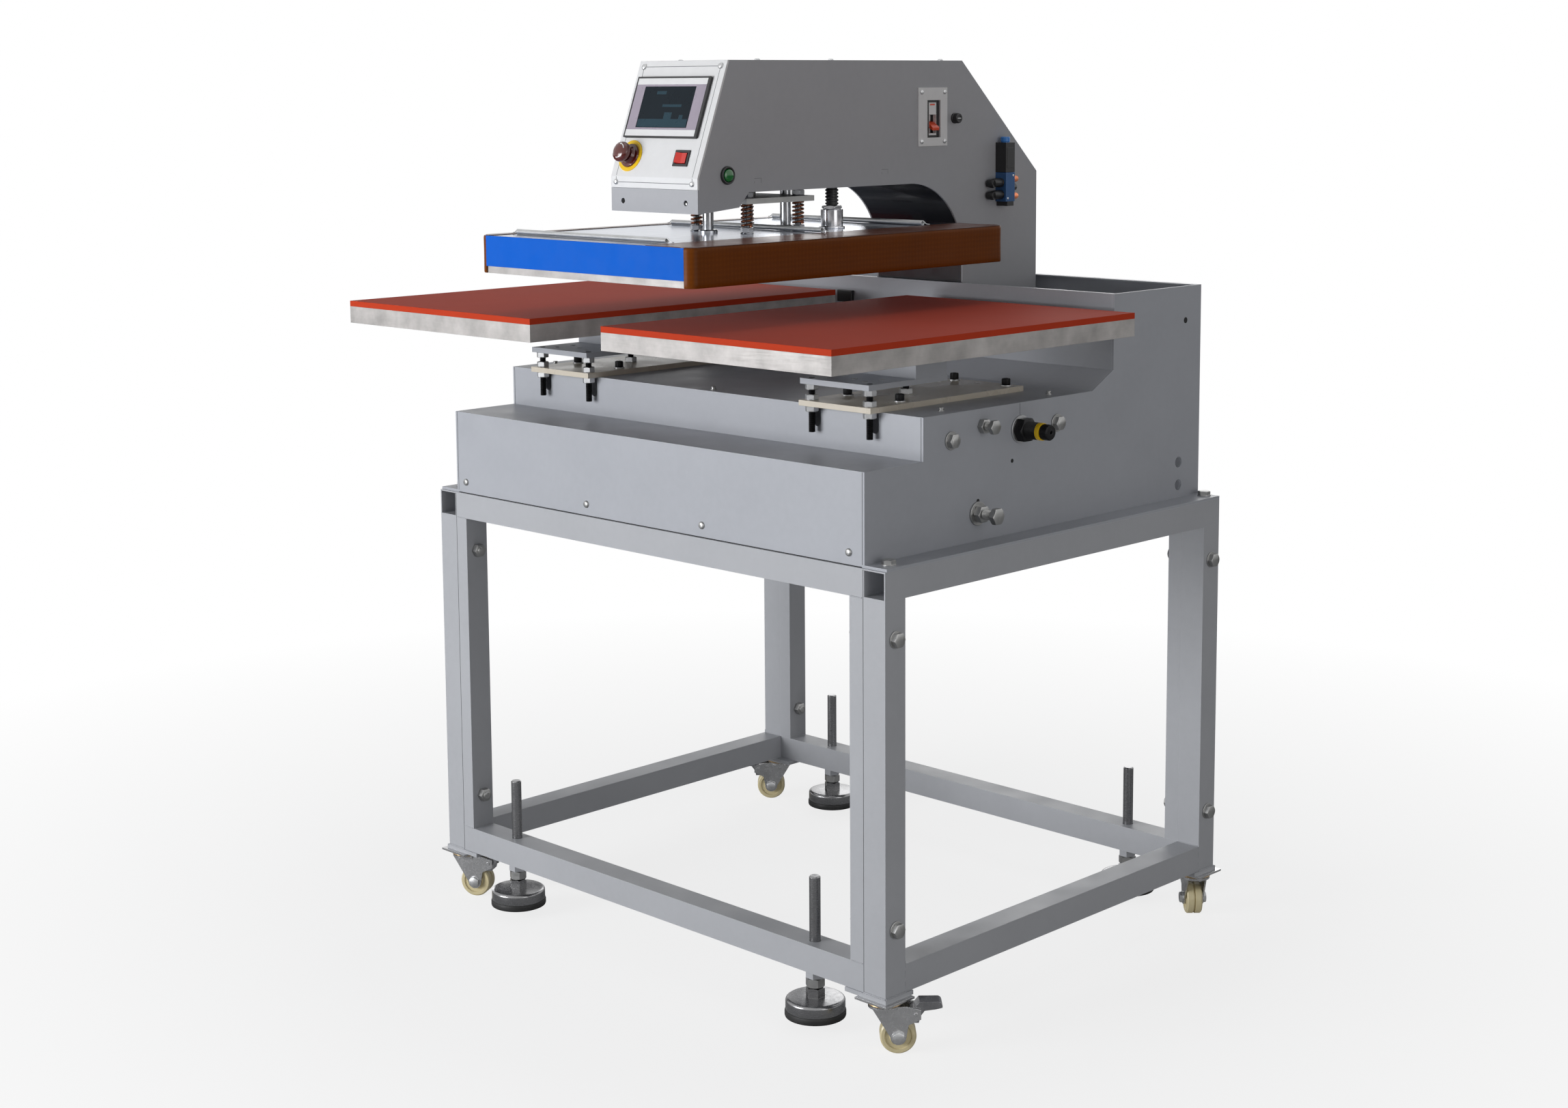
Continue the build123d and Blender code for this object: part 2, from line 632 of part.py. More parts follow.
def traverse_cylinder():
    """Rodless cylinder across the cabinet, with an end cap at each side plate."""
    half = DRIVE_SIZE / 2
    cap_l = 30.0
    reach = COVER_HALF - cap_l
    barrel = block((-reach, reach), (DRIVE_Y - half, DRIVE_Y + half), (DRIVE_Z - half, DRIVE_TOP))
    barrel -= block((-reach, reach), (DRIVE_Y - 4, DRIVE_Y + 4), (DRIVE_TOP - 3, DRIVE_TOP + 1))
    pieces = [barrel]
    for side in (-1, 1):
        x = sorted((side * reach, side * COVER_HALF))
        cap = block(x, (DRIVE_Y - half, DRIVE_Y + half), (DRIVE_Z - half, DRIVE_TOP))
        pieces.append(cap - rod_x(DRIVE_Y, DRIVE_Z, x[0] + 10 * (1 + side) / 2, x[1] - 10 * (1 - side) / 2,
                                  DRIVE_BOLT_R + RUN_FIT))
    return pieces


def shock_absorber(side):
    """Absorber body through the side plate, with washer, lock nut, knob and the plunger inside."""
    at = lambda a, b: sorted((side * a, side * b))
    y, z = ABSORBER_Y, BEAM_MID
    end = CAB_HALF + ABSORBER_OUT
    body = rod_x(y, z, *at(TRAVEL_END + 12, end - 20), ABSORBER_R)
    body += rod_x(y, z, *at(TRAVEL_END + GAP, TRAVEL_END + 12), 4.0)
    body += rod_x(y, z, *at(end - 20, end - 14), ABSORBER_R - 2)
    body += rod_x(y, z, *at(end - 14, end), ABSORBER_R - 0.5)
    bore = rod_x(y, z, *at(CAB_HALF - 1, CAB_HALF + 30), ABSORBER_R + RUN_FIT)
    nut = hex_x(y, z, *at(CAB_HALF + 3, CAB_HALF + 18), 32) - bore
    washer = rod_x(y, z, *at(CAB_HALF, CAB_HALF + 3), 20) - bore
    return [body, nut, washer]


def cabinet_fasteners():
    """Every screw and bolt of the cabinet, each a solid of its own."""
    pieces = []
    for x in (-418.0, -126.0, 126.0, 413.0):
        screw = pan_screw(5.5, 3.2)
        pieces.append(Pos(x, FRONT_Y, RAIL_TOP + 18) * Rot(90, 0, 0) * screw)
    for side in (-1, 1):
        for y in (-196.0, 42.0):
            pieces.append(Pos(side * (COVER_HALF - 22), y, DECK_TOP) * pan_screw(4.5, 5.0))
    pieces.append(Pos(14.0, RISER_Y + 14, DECK_TOP) * pan_screw(4.5, 5.0))
    for side in (-1, 1):
        at = lambda a, b: sorted((side * a, side * b))
        for y in FLANGE_BOLT_Y:
            x = side * (CAB_HALF + FLANGE_W / 2)
            pieces.append(hex_z(x, y, RAIL_TOP + SIDE_T, RAIL_TOP + SIDE_T + 7, 17))
        for y in (BEAM_FRONT_Y, BEAM_REAR_Y):
            head = rod_x(y, BEAM_MID, *at(CAB_HALF, CAB_HALF + 2.5), 13)
            head += hex_x(y, BEAM_MID, *at(CAB_HALF + 2.5, CAB_HALF + 10), 19)
            pieces.append(head + rod_x(y, BEAM_MID, *at(COVER_HALF, CAB_HALF), 6.0))
        stop = rod_x(STOP_Y, STOP_Z, *at(TRAVEL_END + GAP, CAB_HALF + 26), STOP_R)
        stop += hex_x(STOP_Y, STOP_Z, *at(CAB_HALF + 19, CAB_HALF + 26), 19)
        nut = hex_x(STOP_Y, STOP_Z, *at(CAB_HALF, CAB_HALF + 9), 19)
        pieces += [stop, nut - rod_x(STOP_Y, STOP_Z, *at(CAB_HALF - 1, CAB_HALF + 10), STOP_R + RUN_FIT)]
        bolt = rod_x(DRIVE_Y, DRIVE_Z, *at(COVER_HALF - 18, CAB_HALF + DRIVE_BOLT_OUT), DRIVE_BOLT_R)
        bolt += hex_x(DRIVE_Y, DRIVE_Z, *at(CAB_HALF + DRIVE_BOLT_OUT - 9, CAB_HALF + DRIVE_BOLT_OUT), 22)
        bore = rod_x(DRIVE_Y, DRIVE_Z, *at(CAB_HALF - 1, CAB_HALF + 16), DRIVE_BOLT_R + RUN_FIT)
        washer = rod_x(DRIVE_Y, DRIVE_Z, *at(CAB_HALF, CAB_HALF + 3), 17) - bore
        pieces += [bolt, washer, hex_x(DRIVE_Y, DRIVE_Z, *at(CAB_HALF + 3, CAB_HALF + 14), 22) - bore]
    return pieces


# Press stations

def stud_places(station):
    """Front pair and rear stud of one station as x and y."""
    front = BASE_FRONT + STUD_INSET
    return [(station - STUD_X, front), (station + STUD_X, front), (station, STUD_REAR_Y)]


def base_plate(station):
    plate = block((station - BASE_W / 2, station + BASE_W / 2), (BASE_FRONT, BASE_REAR), (DECK_TOP, BASE_TOP))
    for x, y in stud_places(station):
        plate -= rod_z(x, y, DECK_TOP - 1, BASE_TOP + 1, STUD_R + RUN_FIT)
    for x, y in cap_screw_places():
        plate -= rod_z(x, y, DECK_TOP - 1, BASE_TOP + 1, CAP_R + BOLT_CLEAR)
    return plate


def platen_support(station):
    """Table plate on the studs, with a box riser welded to it and the flange under the platen."""
    x = (station - TABLE_W / 2, station + TABLE_W / 2)
    table = block(x, (BASE_FRONT, TABLE_REAR), (TABLE_BOTTOM, TABLE_TOP))
    for sx, sy in stud_places(station):
        table -= rod_z(sx, sy, TABLE_BOTTOM - 1, TABLE_TOP + 1, STUD_R + RUN_FIT)
    riser_y = (TABLE_REAR - 2 - RISER_BOX_D, TABLE_REAR - 2)
    riser = block(x, riser_y, (TABLE_TOP, TABLE_TOP + RISER_BOX_H))
    riser -= block((x[0] + 4, x[1] - 4), (riser_y[0] + 4, riser_y[1] - 4),
                   (TABLE_TOP, TABLE_TOP + RISER_BOX_H))
    flange = block(x, (BASE_FRONT, TABLE_REAR), (TABLE_TOP + RISER_BOX_H, FLANGE_TOP))
    for side in (-1, 1):
        flange -= rod_z(station + side * CAP_SCREW_X, PLATEN_BOLT_Y, TABLE_TOP, FLANGE_TOP + 1,
                        CAP_R + BOLT_CLEAR)
    return [table, riser, flange]


def station_screws(station):
    """Levelling studs and the cap screws into the beams."""
    pieces = []
    for i, (x, y) in enumerate(stud_places(station)):
        low = DECK_TOP if i == 2 else DECK_TOP - STUD_BOTTOM
        pieces.append(rod_z(x, y, low, TABLE_TOP + 0.5, STUD_R))
    for x, y in cap_screw_places():
        if abs(x - station) < BASE_W / 2:
            head = rod_z(x, y, BASE_TOP + 1.6, BASE_TOP + 11, 6.5)
            head -= hex_z(x, y, BASE_TOP + 6, BASE_TOP + 12, 6)
            pieces.append(head + rod_z(x, y, BEAM_TOP - 12, BASE_TOP + 1.6, CAP_R))
    return pieces


def station_nuts(station):
    """Nuts above and below the plates, washers of the cap screws and the platen bolts."""
    pieces = []
    for i, (x, y) in enumerate(stud_places(station)):
        bore = rod_z(x, y, DECK_TOP - 20, TABLE_TOP, STUD_R + RUN_FIT)
        levels = [TABLE_BOTTOM - 8.4, BASE_TOP]
        if i < 2:
            levels.append(DECK_TOP - 8.4)
        for z in levels:
            pieces.append(hex_z(x, y, z, z + 8.4, 17) - bore)
    for x, y in cap_screw_places():
        if abs(x - station) < BASE_W / 2:
            washer = rod_z(x, y, BASE_TOP, BASE_TOP + 1.6, 8.5)
            pieces.append(washer - rod_z(x, y, BASE_TOP - 1, BASE_TOP + 3, CAP_R + BOLT_CLEAR))
    for side in (-1, 1):
        x = station + side * CAP_SCREW_X
        under = FLANGE_TOP - RISER_FLANGE_T
        bolt = hex_z(x, PLATEN_BOLT_Y, under - 6, under, 13)
        pieces.append(bolt + rod_z(x, PLATEN_BOLT_Y, under, FLANGE_TOP + 12, CAP_R))
    return pieces


def lower_platen(station):
    """Machined aluminium platen with tapped holes in its underside."""
    half_w, half_d = PLATEN_W / 2, PLATEN_D / 2
    platen = block((station - half_w, station + half_w), (PLATEN_Y - half_d, PLATEN_Y + half_d),
                   (FLANGE_TOP, PLATEN_TOP))
    for side in (-1, 1):
        platen -= rod_z(station + side * CAP_SCREW_X, PLATEN_BOLT_Y, FLANGE_TOP - 1, FLANGE_TOP + 13,
                        CAP_R + RUN_FIT)
    return platen


def silicone_pad(station):
    half_w, half_d = PLATEN_W / 2, PLATEN_D / 2
    return block((station - half_w, station + half_w), (PLATEN_Y - half_d, PLATEN_Y + half_d),
                 (PLATEN_TOP, PAD_TOP))


# Moving head, laid out about its own middle and moved to HEAD_X

def head_outline():
    """Side view of the head: nose, underside, arch, column, diagonal and top, behind the panel."""
    lean = math.atan2(HEAD_TOP_FRONT - HEAD_FRONT, HEAD_TOP - HEAD_BEND)
    back = PANEL_T / math.cos(lean)
    arch_top = COLUMN_FRONT - ARCH_R
    bend = 1 - math.sqrt(0.5)
    corner = (HEAD_FRONT + PANEL_T, HEAD_BEND - PANEL_T * math.tan(lean / 2))
    return [
        Polyline((arch_top, HEAD_UNDER), (HEAD_UNDER_FRONT, HEAD_UNDER),
                 (HEAD_NOSE_REAR, HEAD_UNDER - HEAD_NOSE_DROP * 0.76),
                 (HEAD_FRONT + PANEL_T, HEAD_UNDER - HEAD_NOSE_DROP),
                 corner, (HEAD_TOP_FRONT + back, HEAD_TOP), (HEAD_TOP_REAR, HEAD_TOP),
                 (COLUMN_REAR, HEAD_UNDER + COLUMN_SHOULDER), (COLUMN_REAR, BLOCK_BOTTOM),
                 (COLUMN_FRONT, BLOCK_BOTTOM), (COLUMN_FRONT, HEAD_UNDER - ARCH_R)),
        ThreePointArc((COLUMN_FRONT, HEAD_UNDER - ARCH_R),
                      (COLUMN_FRONT - ARCH_R * bend, HEAD_UNDER - ARCH_R * bend), (arch_top, HEAD_UNDER)),
    ]


def head_side(side):
    """One side plate of the head; the right one carries the controls."""
    x = sorted((side * HEAD_INNER, side * HEAD_W / 2))
    plate = across_x(make_face(head_outline()), *x)
    if side > 0:
        cut = (x[0] - 1, x[1] + 1)
        plate -= block(cut, WINDOW_Y, (HEAD_UNDER + WINDOW_Z[0], HEAD_UNDER + WINDOW_Z[1]))
        plate -= rod_x(BUTTON_AT[0], HEAD_UNDER + BUTTON_AT[1], *cut, BUTTON_RING_R - 2 + BOLT_CLEAR)
        plate -= rod_x(FUSE_AT[0], HEAD_UNDER + FUSE_AT[1], *cut, FUSE_R - 2 + BOLT_CLEAR)
    return plate


def head_cover():
    """Top, diagonal and rear of the head bent from one sheet between the side plates."""
    lean = math.atan2(HEAD_TOP_FRONT - HEAD_FRONT, HEAD_TOP - HEAD_BEND)
    start = HEAD_TOP_FRONT + PANEL_T / math.cos(lean) + 1
    path = [(start, HEAD_TOP), (HEAD_TOP_REAR, HEAD_TOP), (COLUMN_REAR, HEAD_UNDER + COLUMN_SHOULDER),
            (COLUMN_REAR, BLOCK_BOTTOM)]
    return across_x(bent_sheet(path, SHEET_T), -HEAD_INNER, HEAD_INNER)


def arch_liner():
    """Curved sheet between the side plates under the arch, and down the column's front."""
    t = SHEET_T
    start = MOUNT_REAR + 30
    arch_top = COLUMN_FRONT - ARCH_R
    low = HEAD_UNDER - ARCH_R
    outer, inner = ARCH_R, ARCH_R + t
    bend = math.sqrt(0.5)
    centre = (arch_top, low)
    face = make_face([
        Polyline((arch_top, HEAD_UNDER), (start, HEAD_UNDER), (start, HEAD_UNDER + t),
                 (arch_top, HEAD_UNDER + t)),
        ThreePointArc((arch_top, HEAD_UNDER + t), (centre[0] + inner * bend, centre[1] + inner * bend),
                      (COLUMN_FRONT + t, low)),
        Polyline((COLUMN_FRONT + t, low), (COLUMN_FRONT + t, BLOCK_BOTTOM), (COLUMN_FRONT, BLOCK_BOTTOM),
                 (COLUMN_FRONT, low)),
        ThreePointArc((COLUMN_FRONT, low), (centre[0] + outer * bend, centre[1] + outer * bend),
                      (arch_top, HEAD_UNDER)),
    ])
    return across_x(face, -HEAD_INNER, HEAD_INNER)


PANEL_LEAN = math.degrees(math.atan2(HEAD_TOP_FRONT - HEAD_FRONT, HEAD_TOP - HEAD_BEND))
PANEL_L = math.hypot(HEAD_TOP_FRONT - HEAD_FRONT, HEAD_TOP - HEAD_BEND)


def on_panel(piece):
    """Move a piece drawn with X across, Y up the slope and Z outwards onto the panel's face."""
    return Pos(0, HEAD_FRONT, HEAD_BEND) * Rot(90 - PANEL_LEAN, 0, 0) * piece


def control_panel():
    """White panel over the sloped front, bent down at its lower edge."""
    path = [(HEAD_TOP_FRONT, HEAD_TOP), (HEAD_FRONT, HEAD_BEND), (HEAD_FRONT, HEAD_BEND - PANEL_LIP)]
    outline = bent_sheet([(-u, v) for u, v in path], PANEL_T)
    panel = extrude(Plane.YZ.offset(-HEAD_W / 2) * mirror(outline, Plane.YZ), amount=HEAD_W, dir=(1, 0, 0))
    cuts = [on_panel(Pos(SCREEN_AT[0], SCREEN_AT[1], 0) * Box(SCREEN_W - 14, SCREEN_H - 14, 20))]
    cuts.append(on_panel(Pos(STOP_AT[0], STOP_AT[1], 0) * Cylinder(11 + BOLT_CLEAR, 20)))
    cuts.append(on_panel(Pos(ROCKER_AT[0], ROCKER_AT[1], 0) * Box(ROCKER_W - 5, ROCKER_H - 5, 20)))
    return panel - cuts


def head_front_plate():
    """Grey plate across the nose below the control panel, with two recessed screw holes."""
    low = HEAD_UNDER - HEAD_NOSE_DROP
    plate = block((-HEAD_W / 2, HEAD_W / 2), (HEAD_FRONT + GAP, HEAD_FRONT + PANEL_T),
                  (low, HEAD_BEND - PANEL_LIP - GAP))
    for x in (-66.0, 66.0):
        plate -= rod_y(x, low + 15, HEAD_FRONT - 1, HEAD_FRONT + 6, 4.0)
    return plate


def head_screws():
    """Pan screws of the control panel, the top cover and the breaker plate."""
    pieces = []
    for x in (-80.0, 80.0):
        pieces.append(on_panel(Pos(x, PANEL_L - 9, 0) * pan_screw(4.5, 3.0)))
        pieces.append(Pos(x, HEAD_FRONT, HEAD_BEND - 8) * Rot(90, 0, 0) * pan_screw(4.0, 3.0))
        for y in (-262.0, -110.0, 135.0):
            pieces.append(Pos(x, y, HEAD_TOP) * pan_screw(4.0, 2.4))
    for y in (BREAKER_Y[0] + 7, BREAKER_Y[1] - 7):
        for z in (BREAKER_Z[0] + 7, BREAKER_Z[1] - 7):
            pieces.append(Pos(HEAD_W / 2 + SHEET_T, y, HEAD_UNDER + z) * Rot(0, 90, 0) * pan_screw(3.5, 2.6))
    return pieces


def touch_screen():
    """Flush display: bezel on the panel and its body through the cut-out."""
    bezel = Pos(SCREEN_AT[0], SCREEN_AT[1], SCREEN_PROUD / 2) * Box(SCREEN_W, SCREEN_H, SCREEN_PROUD)
    bezel = chamfer(bezel.edges().group_by(Axis.Z)[-1], 1.2)
    body = Pos(SCREEN_AT[0], SCREEN_AT[1], -15) * Box(SCREEN_W - 15, SCREEN_H - 15, 30)
    return on_panel(bezel + body)


def panel_fittings():
    """Emergency stop collar, rocker bezel, start button bezel and fuse holder."""
    ring = Pos(0, 0, 2) * Cylinder(STOP_RING_R, 4)
    ring += Pos(0, 0, 4.5) * Cone(13, 11, 5, align=(Align.CENTER, Align.CENTER, Align.MIN))
    ring += Pos(0, 0, -15) * Cylinder(11, 30)
    ring -= Pos(0, 0, 0) * Cylinder(7.5, 60)
    pieces = [on_panel(Pos(STOP_AT[0], STOP_AT[1], 0) * ring)]
    bezel = Pos(0, 0, 1) * Box(ROCKER_W, ROCKER_H, 2)
    bezel += Pos(0, 0, -9) * Box(ROCKER_W - 5.6, ROCKER_H - 5.6, 18)
    bezel -= Pos(0, 0, 0) * Box(ROCKER_W - 8, ROCKER_H - 8, 20)
    bezel += Pos(0, 0, -ROCKER_PIVOT) * Rot(90, 0, 0) * Cylinder(ROCKER_PIN_R, ROCKER_H - 6)
    pieces.append(on_panel(Pos(ROCKER_AT[0], ROCKER_AT[1], 0) * bezel))
    outer = HEAD_W / 2
    y, z = BUTTON_AT[0], HEAD_UNDER + BUTTON_AT[1]
    button = rod_x(y, z, outer, outer + 4, BUTTON_RING_R) + rod_x(y, z, outer - 32, outer, BUTTON_RING_R - 2)
    pieces.append(button - rod_x(y, z, outer - 20, outer + 5, BUTTON_R + GAP))
    y, z = FUSE_AT[0], HEAD_UNDER + FUSE_AT[1]
    pieces.append(rod_x(y, z, outer, outer + 11, FUSE_R) + rod_x(y, z, outer - 24, outer, FUSE_R - 2))
    return pieces


def e_stop_knob():
    """Mushroom with its stem, 3 mm short of its collar so that it can be pressed."""
    r = STOP_CAP_R
    cap = revolve(Plane.XZ * make_face([
        Polyline((r * 0.3, 27), (0, 27), (0, 14), (r - 2, 14), (r, 17), (r, 21)),
        ThreePointArc((r, 21), (r * 0.76, 25), (r * 0.3, 27)),
    ]), Axis.Z)
    stem = Pos(0, 0, 4.5) * Cylinder(7.5 - GAP, 19)
    return on_panel(Pos(STOP_AT[0], STOP_AT[1], 0) * (cap + stem))


def power_rocker():
    """Rocker of a shallow V on its pin, tipped to one side."""
    half_w, half_h = (ROCKER_W - 10) / 2, (ROCKER_H - 9) / 2
    face = polygon([(-half_w, 5.4), (0, 3.2), (half_w, 5.4), (half_w - 1, -3), (2.5, -5), (-2.5, -5),
                    (1 - half_w, -3)])
    rocker = extrude(Plane.XZ.offset(half_h) * face, amount=2 * half_h, dir=(0, 1, 0))
    rocker -= Rot(90, 0, 0) * Cylinder(ROCKER_PIN_R + RUN_FIT, 3 * half_h)
    return on_panel(Pos(ROCKER_AT[0], ROCKER_AT[1], -ROCKER_PIVOT) * Rot(0, ROCKER_TIP, 0) * rocker)


def start_button():
    outer = HEAD_W / 2
    y, z = BUTTON_AT[0], HEAD_UNDER + BUTTON_AT[1]
    cap = rod_x(y, z, outer - 10, outer + 6, BUTTON_R)
    return fillet(cap.edges().group_by(Axis.X)[-1], 2.0)


def breaker():
    """Cover plate with its window on the side plate, and the breaker behind it."""
    outer = HEAD_W / 2
    z = lambda rise: HEAD_UNDER + rise
    window = block((outer - 1, outer + SHEET_T + 1), WINDOW_Y, (z(WINDOW_Z[0]), z(WINDOW_Z[1])))
    plate = block((outer, outer + SHEET_T), BREAKER_Y, (z(BREAKER_Z[0]), z(BREAKER_Z[1]))) - window
    mid = sum(WINDOW_Y) / 2
    face = outer - 1.5
    body = block((face - 60, outer - HEAD_T - GAP), (mid - 18, mid + 18),
                 (z(WINDOW_Z[0]) - 12, z(WINDOW_Z[1]) + 12))
    body += block((outer - HEAD_T - 4, face), (WINDOW_Y[0] + 0.5, WINDOW_Y[1] - 0.5),
                  (z(WINDOW_Z[0]) + 0.5, z(WINDOW_Z[1]) - 0.5))
    slot = block((face - 12, face + 1), (mid - 8.5, mid + 8.5), (z(LEVER_Z) - 14, z(LEVER_Z) + 14))
    body = body - slot + rod_y(outer - LEVER_DEPTH, z(LEVER_Z), mid - 9, mid + 9, LEVER_PIN_R)
    return [plate, body]


def breaker_lever():
    """Toggle on a pivot inside the breaker, leaning to its lower stop."""
    outer = HEAD_W / 2
    mid = sum(WINDOW_Y) / 2
    z = HEAD_UNDER + LEVER_Z
    x = outer - LEVER_DEPTH
    face = polygon([(x - 3, z - 4), (x - 3, z + 4), (x + 3, z + 3), (x + 14, z - 5), (x + 13, z - 10),
                    (x + 3, z - 4)])
    lever = extrude(Plane.XZ.offset(-mid + 8) * face, amount=16, dir=(0, 1, 0))
    return lever - rod_y(x, z, mid - 9, mid + 9, LEVER_PIN_R + RUN_FIT)


def solenoid_valve():
    """Valve body with base, coil, override knob, two elbows, two mufflers and a plug."""
    x = (HEAD_W / 2, HEAD_W / 2 + VALVE_W)
    y = (VALVE_Y - VALVE_W / 2, VALVE_Y + VALVE_W / 2)
    z = HEAD_UNDER + VALVE_BASE
    mid = (x[0] + x[1]) / 2
    pieces = [block(x, (y[0] + 3, y[1] - 3), (z, z + 7)), block(x, y, (z + 7, z + 53))]
    pieces.append(block((x[0] + 0.5, x[1] - 0.5), y, (z + 53, z + 100)))
    pieces.append(rod_z(mid, VALVE_Y, z + 100, z + 109, 7.5))
    for rise in (18, 37):
        tail = rod_y(mid, z + rise, y[0] - 14, y[0], 6.5)
        drop = rod_x(y[0] - 14, z + rise, x[0], mid + 4, 6.0)
        pieces.append(tail + drop)
    for rise in (15, 42):
        pieces.append(rod_y(mid, z + rise, y[1], y[1] + 15, 4.5))
    pieces.append(rod_y(mid, z + 29, y[1], y[1] + 10, 5.0))
    return pieces


def press_cylinder():
    """Mounting plate across the head, the cylinder on it and the two guide bushes."""
    y = PLATEN_Y
    plate = block((-HEAD_INNER, HEAD_INNER), (MOUNT_FRONT, MOUNT_REAR), (MOUNT_BOTTOM, MOUNT_TOP))
    plate -= rod_z(0, y, MOUNT_BOTTOM - 1, MOUNT_TOP + 1, ROD_R + RUN_FIT)
    half = CYLINDER_SIZE / 2
    top = MOUNT_TOP + CYLINDER_H
    barrel = block((-half, half), (y - half, y + half), (MOUNT_TOP, top))
    barrel = chamfer(barrel.edges().filter_by(Axis.Z), 10)
    barrel -= rod_z(0, y, MOUNT_TOP + CYLINDER_CAP, top - CYLINDER_CAP, PISTON_R)
    barrel -= rod_z(0, y, MOUNT_TOP - 1, MOUNT_TOP + CYLINDER_CAP + 1, ROD_R + RUN_FIT)
    pieces = [barrel]
    for side in (-1, 1):
        at = y + side * POST_Y
        plate -= rod_z(0, at, MOUNT_BOTTOM - 1, MOUNT_TOP + 1, BUSH_R)
        bush = rod_z(0, at, MOUNT_BOTTOM, MOUNT_BOTTOM + BUSH_H, BUSH_R)
        pieces.append(bush - rod_z(0, at, MOUNT_BOTTOM - 1, MOUNT_BOTTOM + BUSH_H + 1, POST_R + RUN_FIT))
    return [plate] + pieces


def head_carriage():
    """Carriage plate, its bearing blocks, the stop bracket ends and the drive shuttle."""
    plate = block((-CARRIAGE_HALF, CARRIAGE_HALF), (CARRIAGE_FRONT, COLUMN_REAR + 6),
                  (CARRIAGE_BOTTOM, BLOCK_BOTTOM))
    pieces = [plate]
    for y in (BEAM_FRONT_Y, BEAM_REAR_Y):
        for side in (-1, 1):
            x = side * BLOCK_SPREAD
            body = block((x - BLOCK_L / 2, x + BLOCK_L / 2), (y - BLOCK_W / 2, y + BLOCK_W / 2),
                         (BLOCK_BOTTOM, BLOCK_BOTTOM + BLOCK_H))
            half = LINEAR_W / 2 + GAP
            groove = block((x - BLOCK_L, x + BLOCK_L), (y - half, y + half),
                           (BEAM_BOTTOM - LINEAR_H - GAP, BEAM_BOTTOM))
            pieces.append(body - groove)
    for side in (-1, 1):
        x = sorted((side * (CARRIAGE_HALF - STOP_PLATE_T), side * CARRIAGE_HALF))
        pieces.append(block(x, (STOP_Y - 18, ABSORBER_Y + 20), (BLOCK_BOTTOM, BLOCK_BOTTOM + STOP_PLATE_H)))
    pieces.append(block((-SHUTTLE_L / 2, SHUTTLE_L / 2), (DRIVE_Y - 22, DRIVE_Y + 22),
                        (DRIVE_TOP + GAP, CARRIAGE_BOTTOM)))
    return pieces


# Press head, laid out about the head's middle

def heating_plate():
    """Cast aluminium heating plate."""
    half_w, half_d = HEATER_W / 2 - GUARD_T, HEATER_D / 2 - GUARD_T
    plate = block((-half_w, half_w), (PLATEN_Y - half_d, PLATEN_Y + half_d), (HEATER_BOTTOM, HEATER_TOP))
    return fillet(plate.edges().filter_by(Axis.Z), GUARD_R - GUARD_T)


def heater_cover():
    """Sheet cover on the heating plate, a shallow tray turned over."""
    half_w, half_d = HEATER_W / 2 - GUARD_T, HEATER_D / 2 - GUARD_T
    cover = block((-half_w, half_w), (PLATEN_Y - half_d, PLATEN_Y + half_d), (HEATER_TOP, COVER_TOP))
    cover = fillet(cover.edges().filter_by(Axis.Z), GUARD_R - GUARD_T)
    half_w, half_d = half_w - COVER_SHEET, half_d - COVER_SHEET
    inner = block((-half_w, half_w), (PLATEN_Y - half_d, PLATEN_Y + half_d),
                  (HEATER_TOP, COVER_TOP - COVER_SHEET))
    return cover - fillet(inner.edges().filter_by(Axis.Z), GUARD_R - GUARD_T - COVER_SHEET)


def guard_band():
    """The whole band round the heater, from its bottom edge to the rim."""
    z = (HEATER_BOTTOM, COVER_TOP)
    half_w, half_d = HEATER_W / 2, HEATER_D / 2
    outer = block((-half_w, half_w), (PLATEN_Y - half_d, PLATEN_Y + half_d), z)
    outer = fillet(outer.edges().filter_by(Axis.Z), GUARD_R)
    t = GUARD_T
    inner = block((-half_w + t, half_w - t), (PLATEN_Y - half_d + t, PLATEN_Y + half_d - t), z)
    return outer - fillet(inner.edges().filter_by(Axis.Z), GUARD_R - t)


def front_region(low):
    """Space that the front guard takes out of the band."""
    reach = HEATER_W / 2 - GUARD_R
    front = PLATEN_Y - HEATER_D / 2
    return block((-reach, reach), (front - 1, front + GUARD_T + 1), (low, COVER_TOP))


def front_guard():
    return guard_band() & front_region(HEATER_BOTTOM + FRONT_STRIP)


def cover_flap(side, width):
    """The band's cloth folded in over the heater's cover along one side."""
    half_w, half_d = HEATER_W / 2, HEATER_D / 2
    z = (COVER_TOP, COVER_TOP + FLAP_T)
    sheet = block((-half_w, half_w), (PLATEN_Y - half_d, PLATEN_Y + half_d), z)
    sheet = fillet(sheet.edges().filter_by(Axis.Z), GUARD_R)
    return sheet & block(sorted((side * half_w, side * (half_w - width))),
                         (PLATEN_Y - half_d, PLATEN_Y + half_d), z)


def side_guards():
    """Band of coated cloth round the sides and the back, folded in over the cover."""
    band = guard_band() - front_region(HEATER_BOTTOM - 1)
    return band + cover_flap(-1, FLAP_LEFT) + cover_flap(1, FLAP_RIGHT)


def cover_spring(y):
    """Closed coil spring, as its outer form, that pulls the two flaps together across the cover."""
    low = -HEATER_W / 2 + FLAP_LEFT + COVER_SPRING_INSET
    high = HEATER_W / 2 - FLAP_RIGHT - COVER_SPRING_INSET
    z = COVER_TOP + COVER_SPRING_R
    spring = rod_x(y, z, low, high, COVER_SPRING_R)
    for x in (low - COVER_SPRING_INSET, high):
        hook_z = COVER_TOP + FLAP_T + 1.2
        spring += rod_x(y, hook_z, x, x + COVER_SPRING_INSET, 1.2)
    return spring


def spring_places():
    return [(sx * SPRING_X, PLATEN_Y + sy * SPRING_X) for sx in (-1, 1) for sy in (-1, 1)]


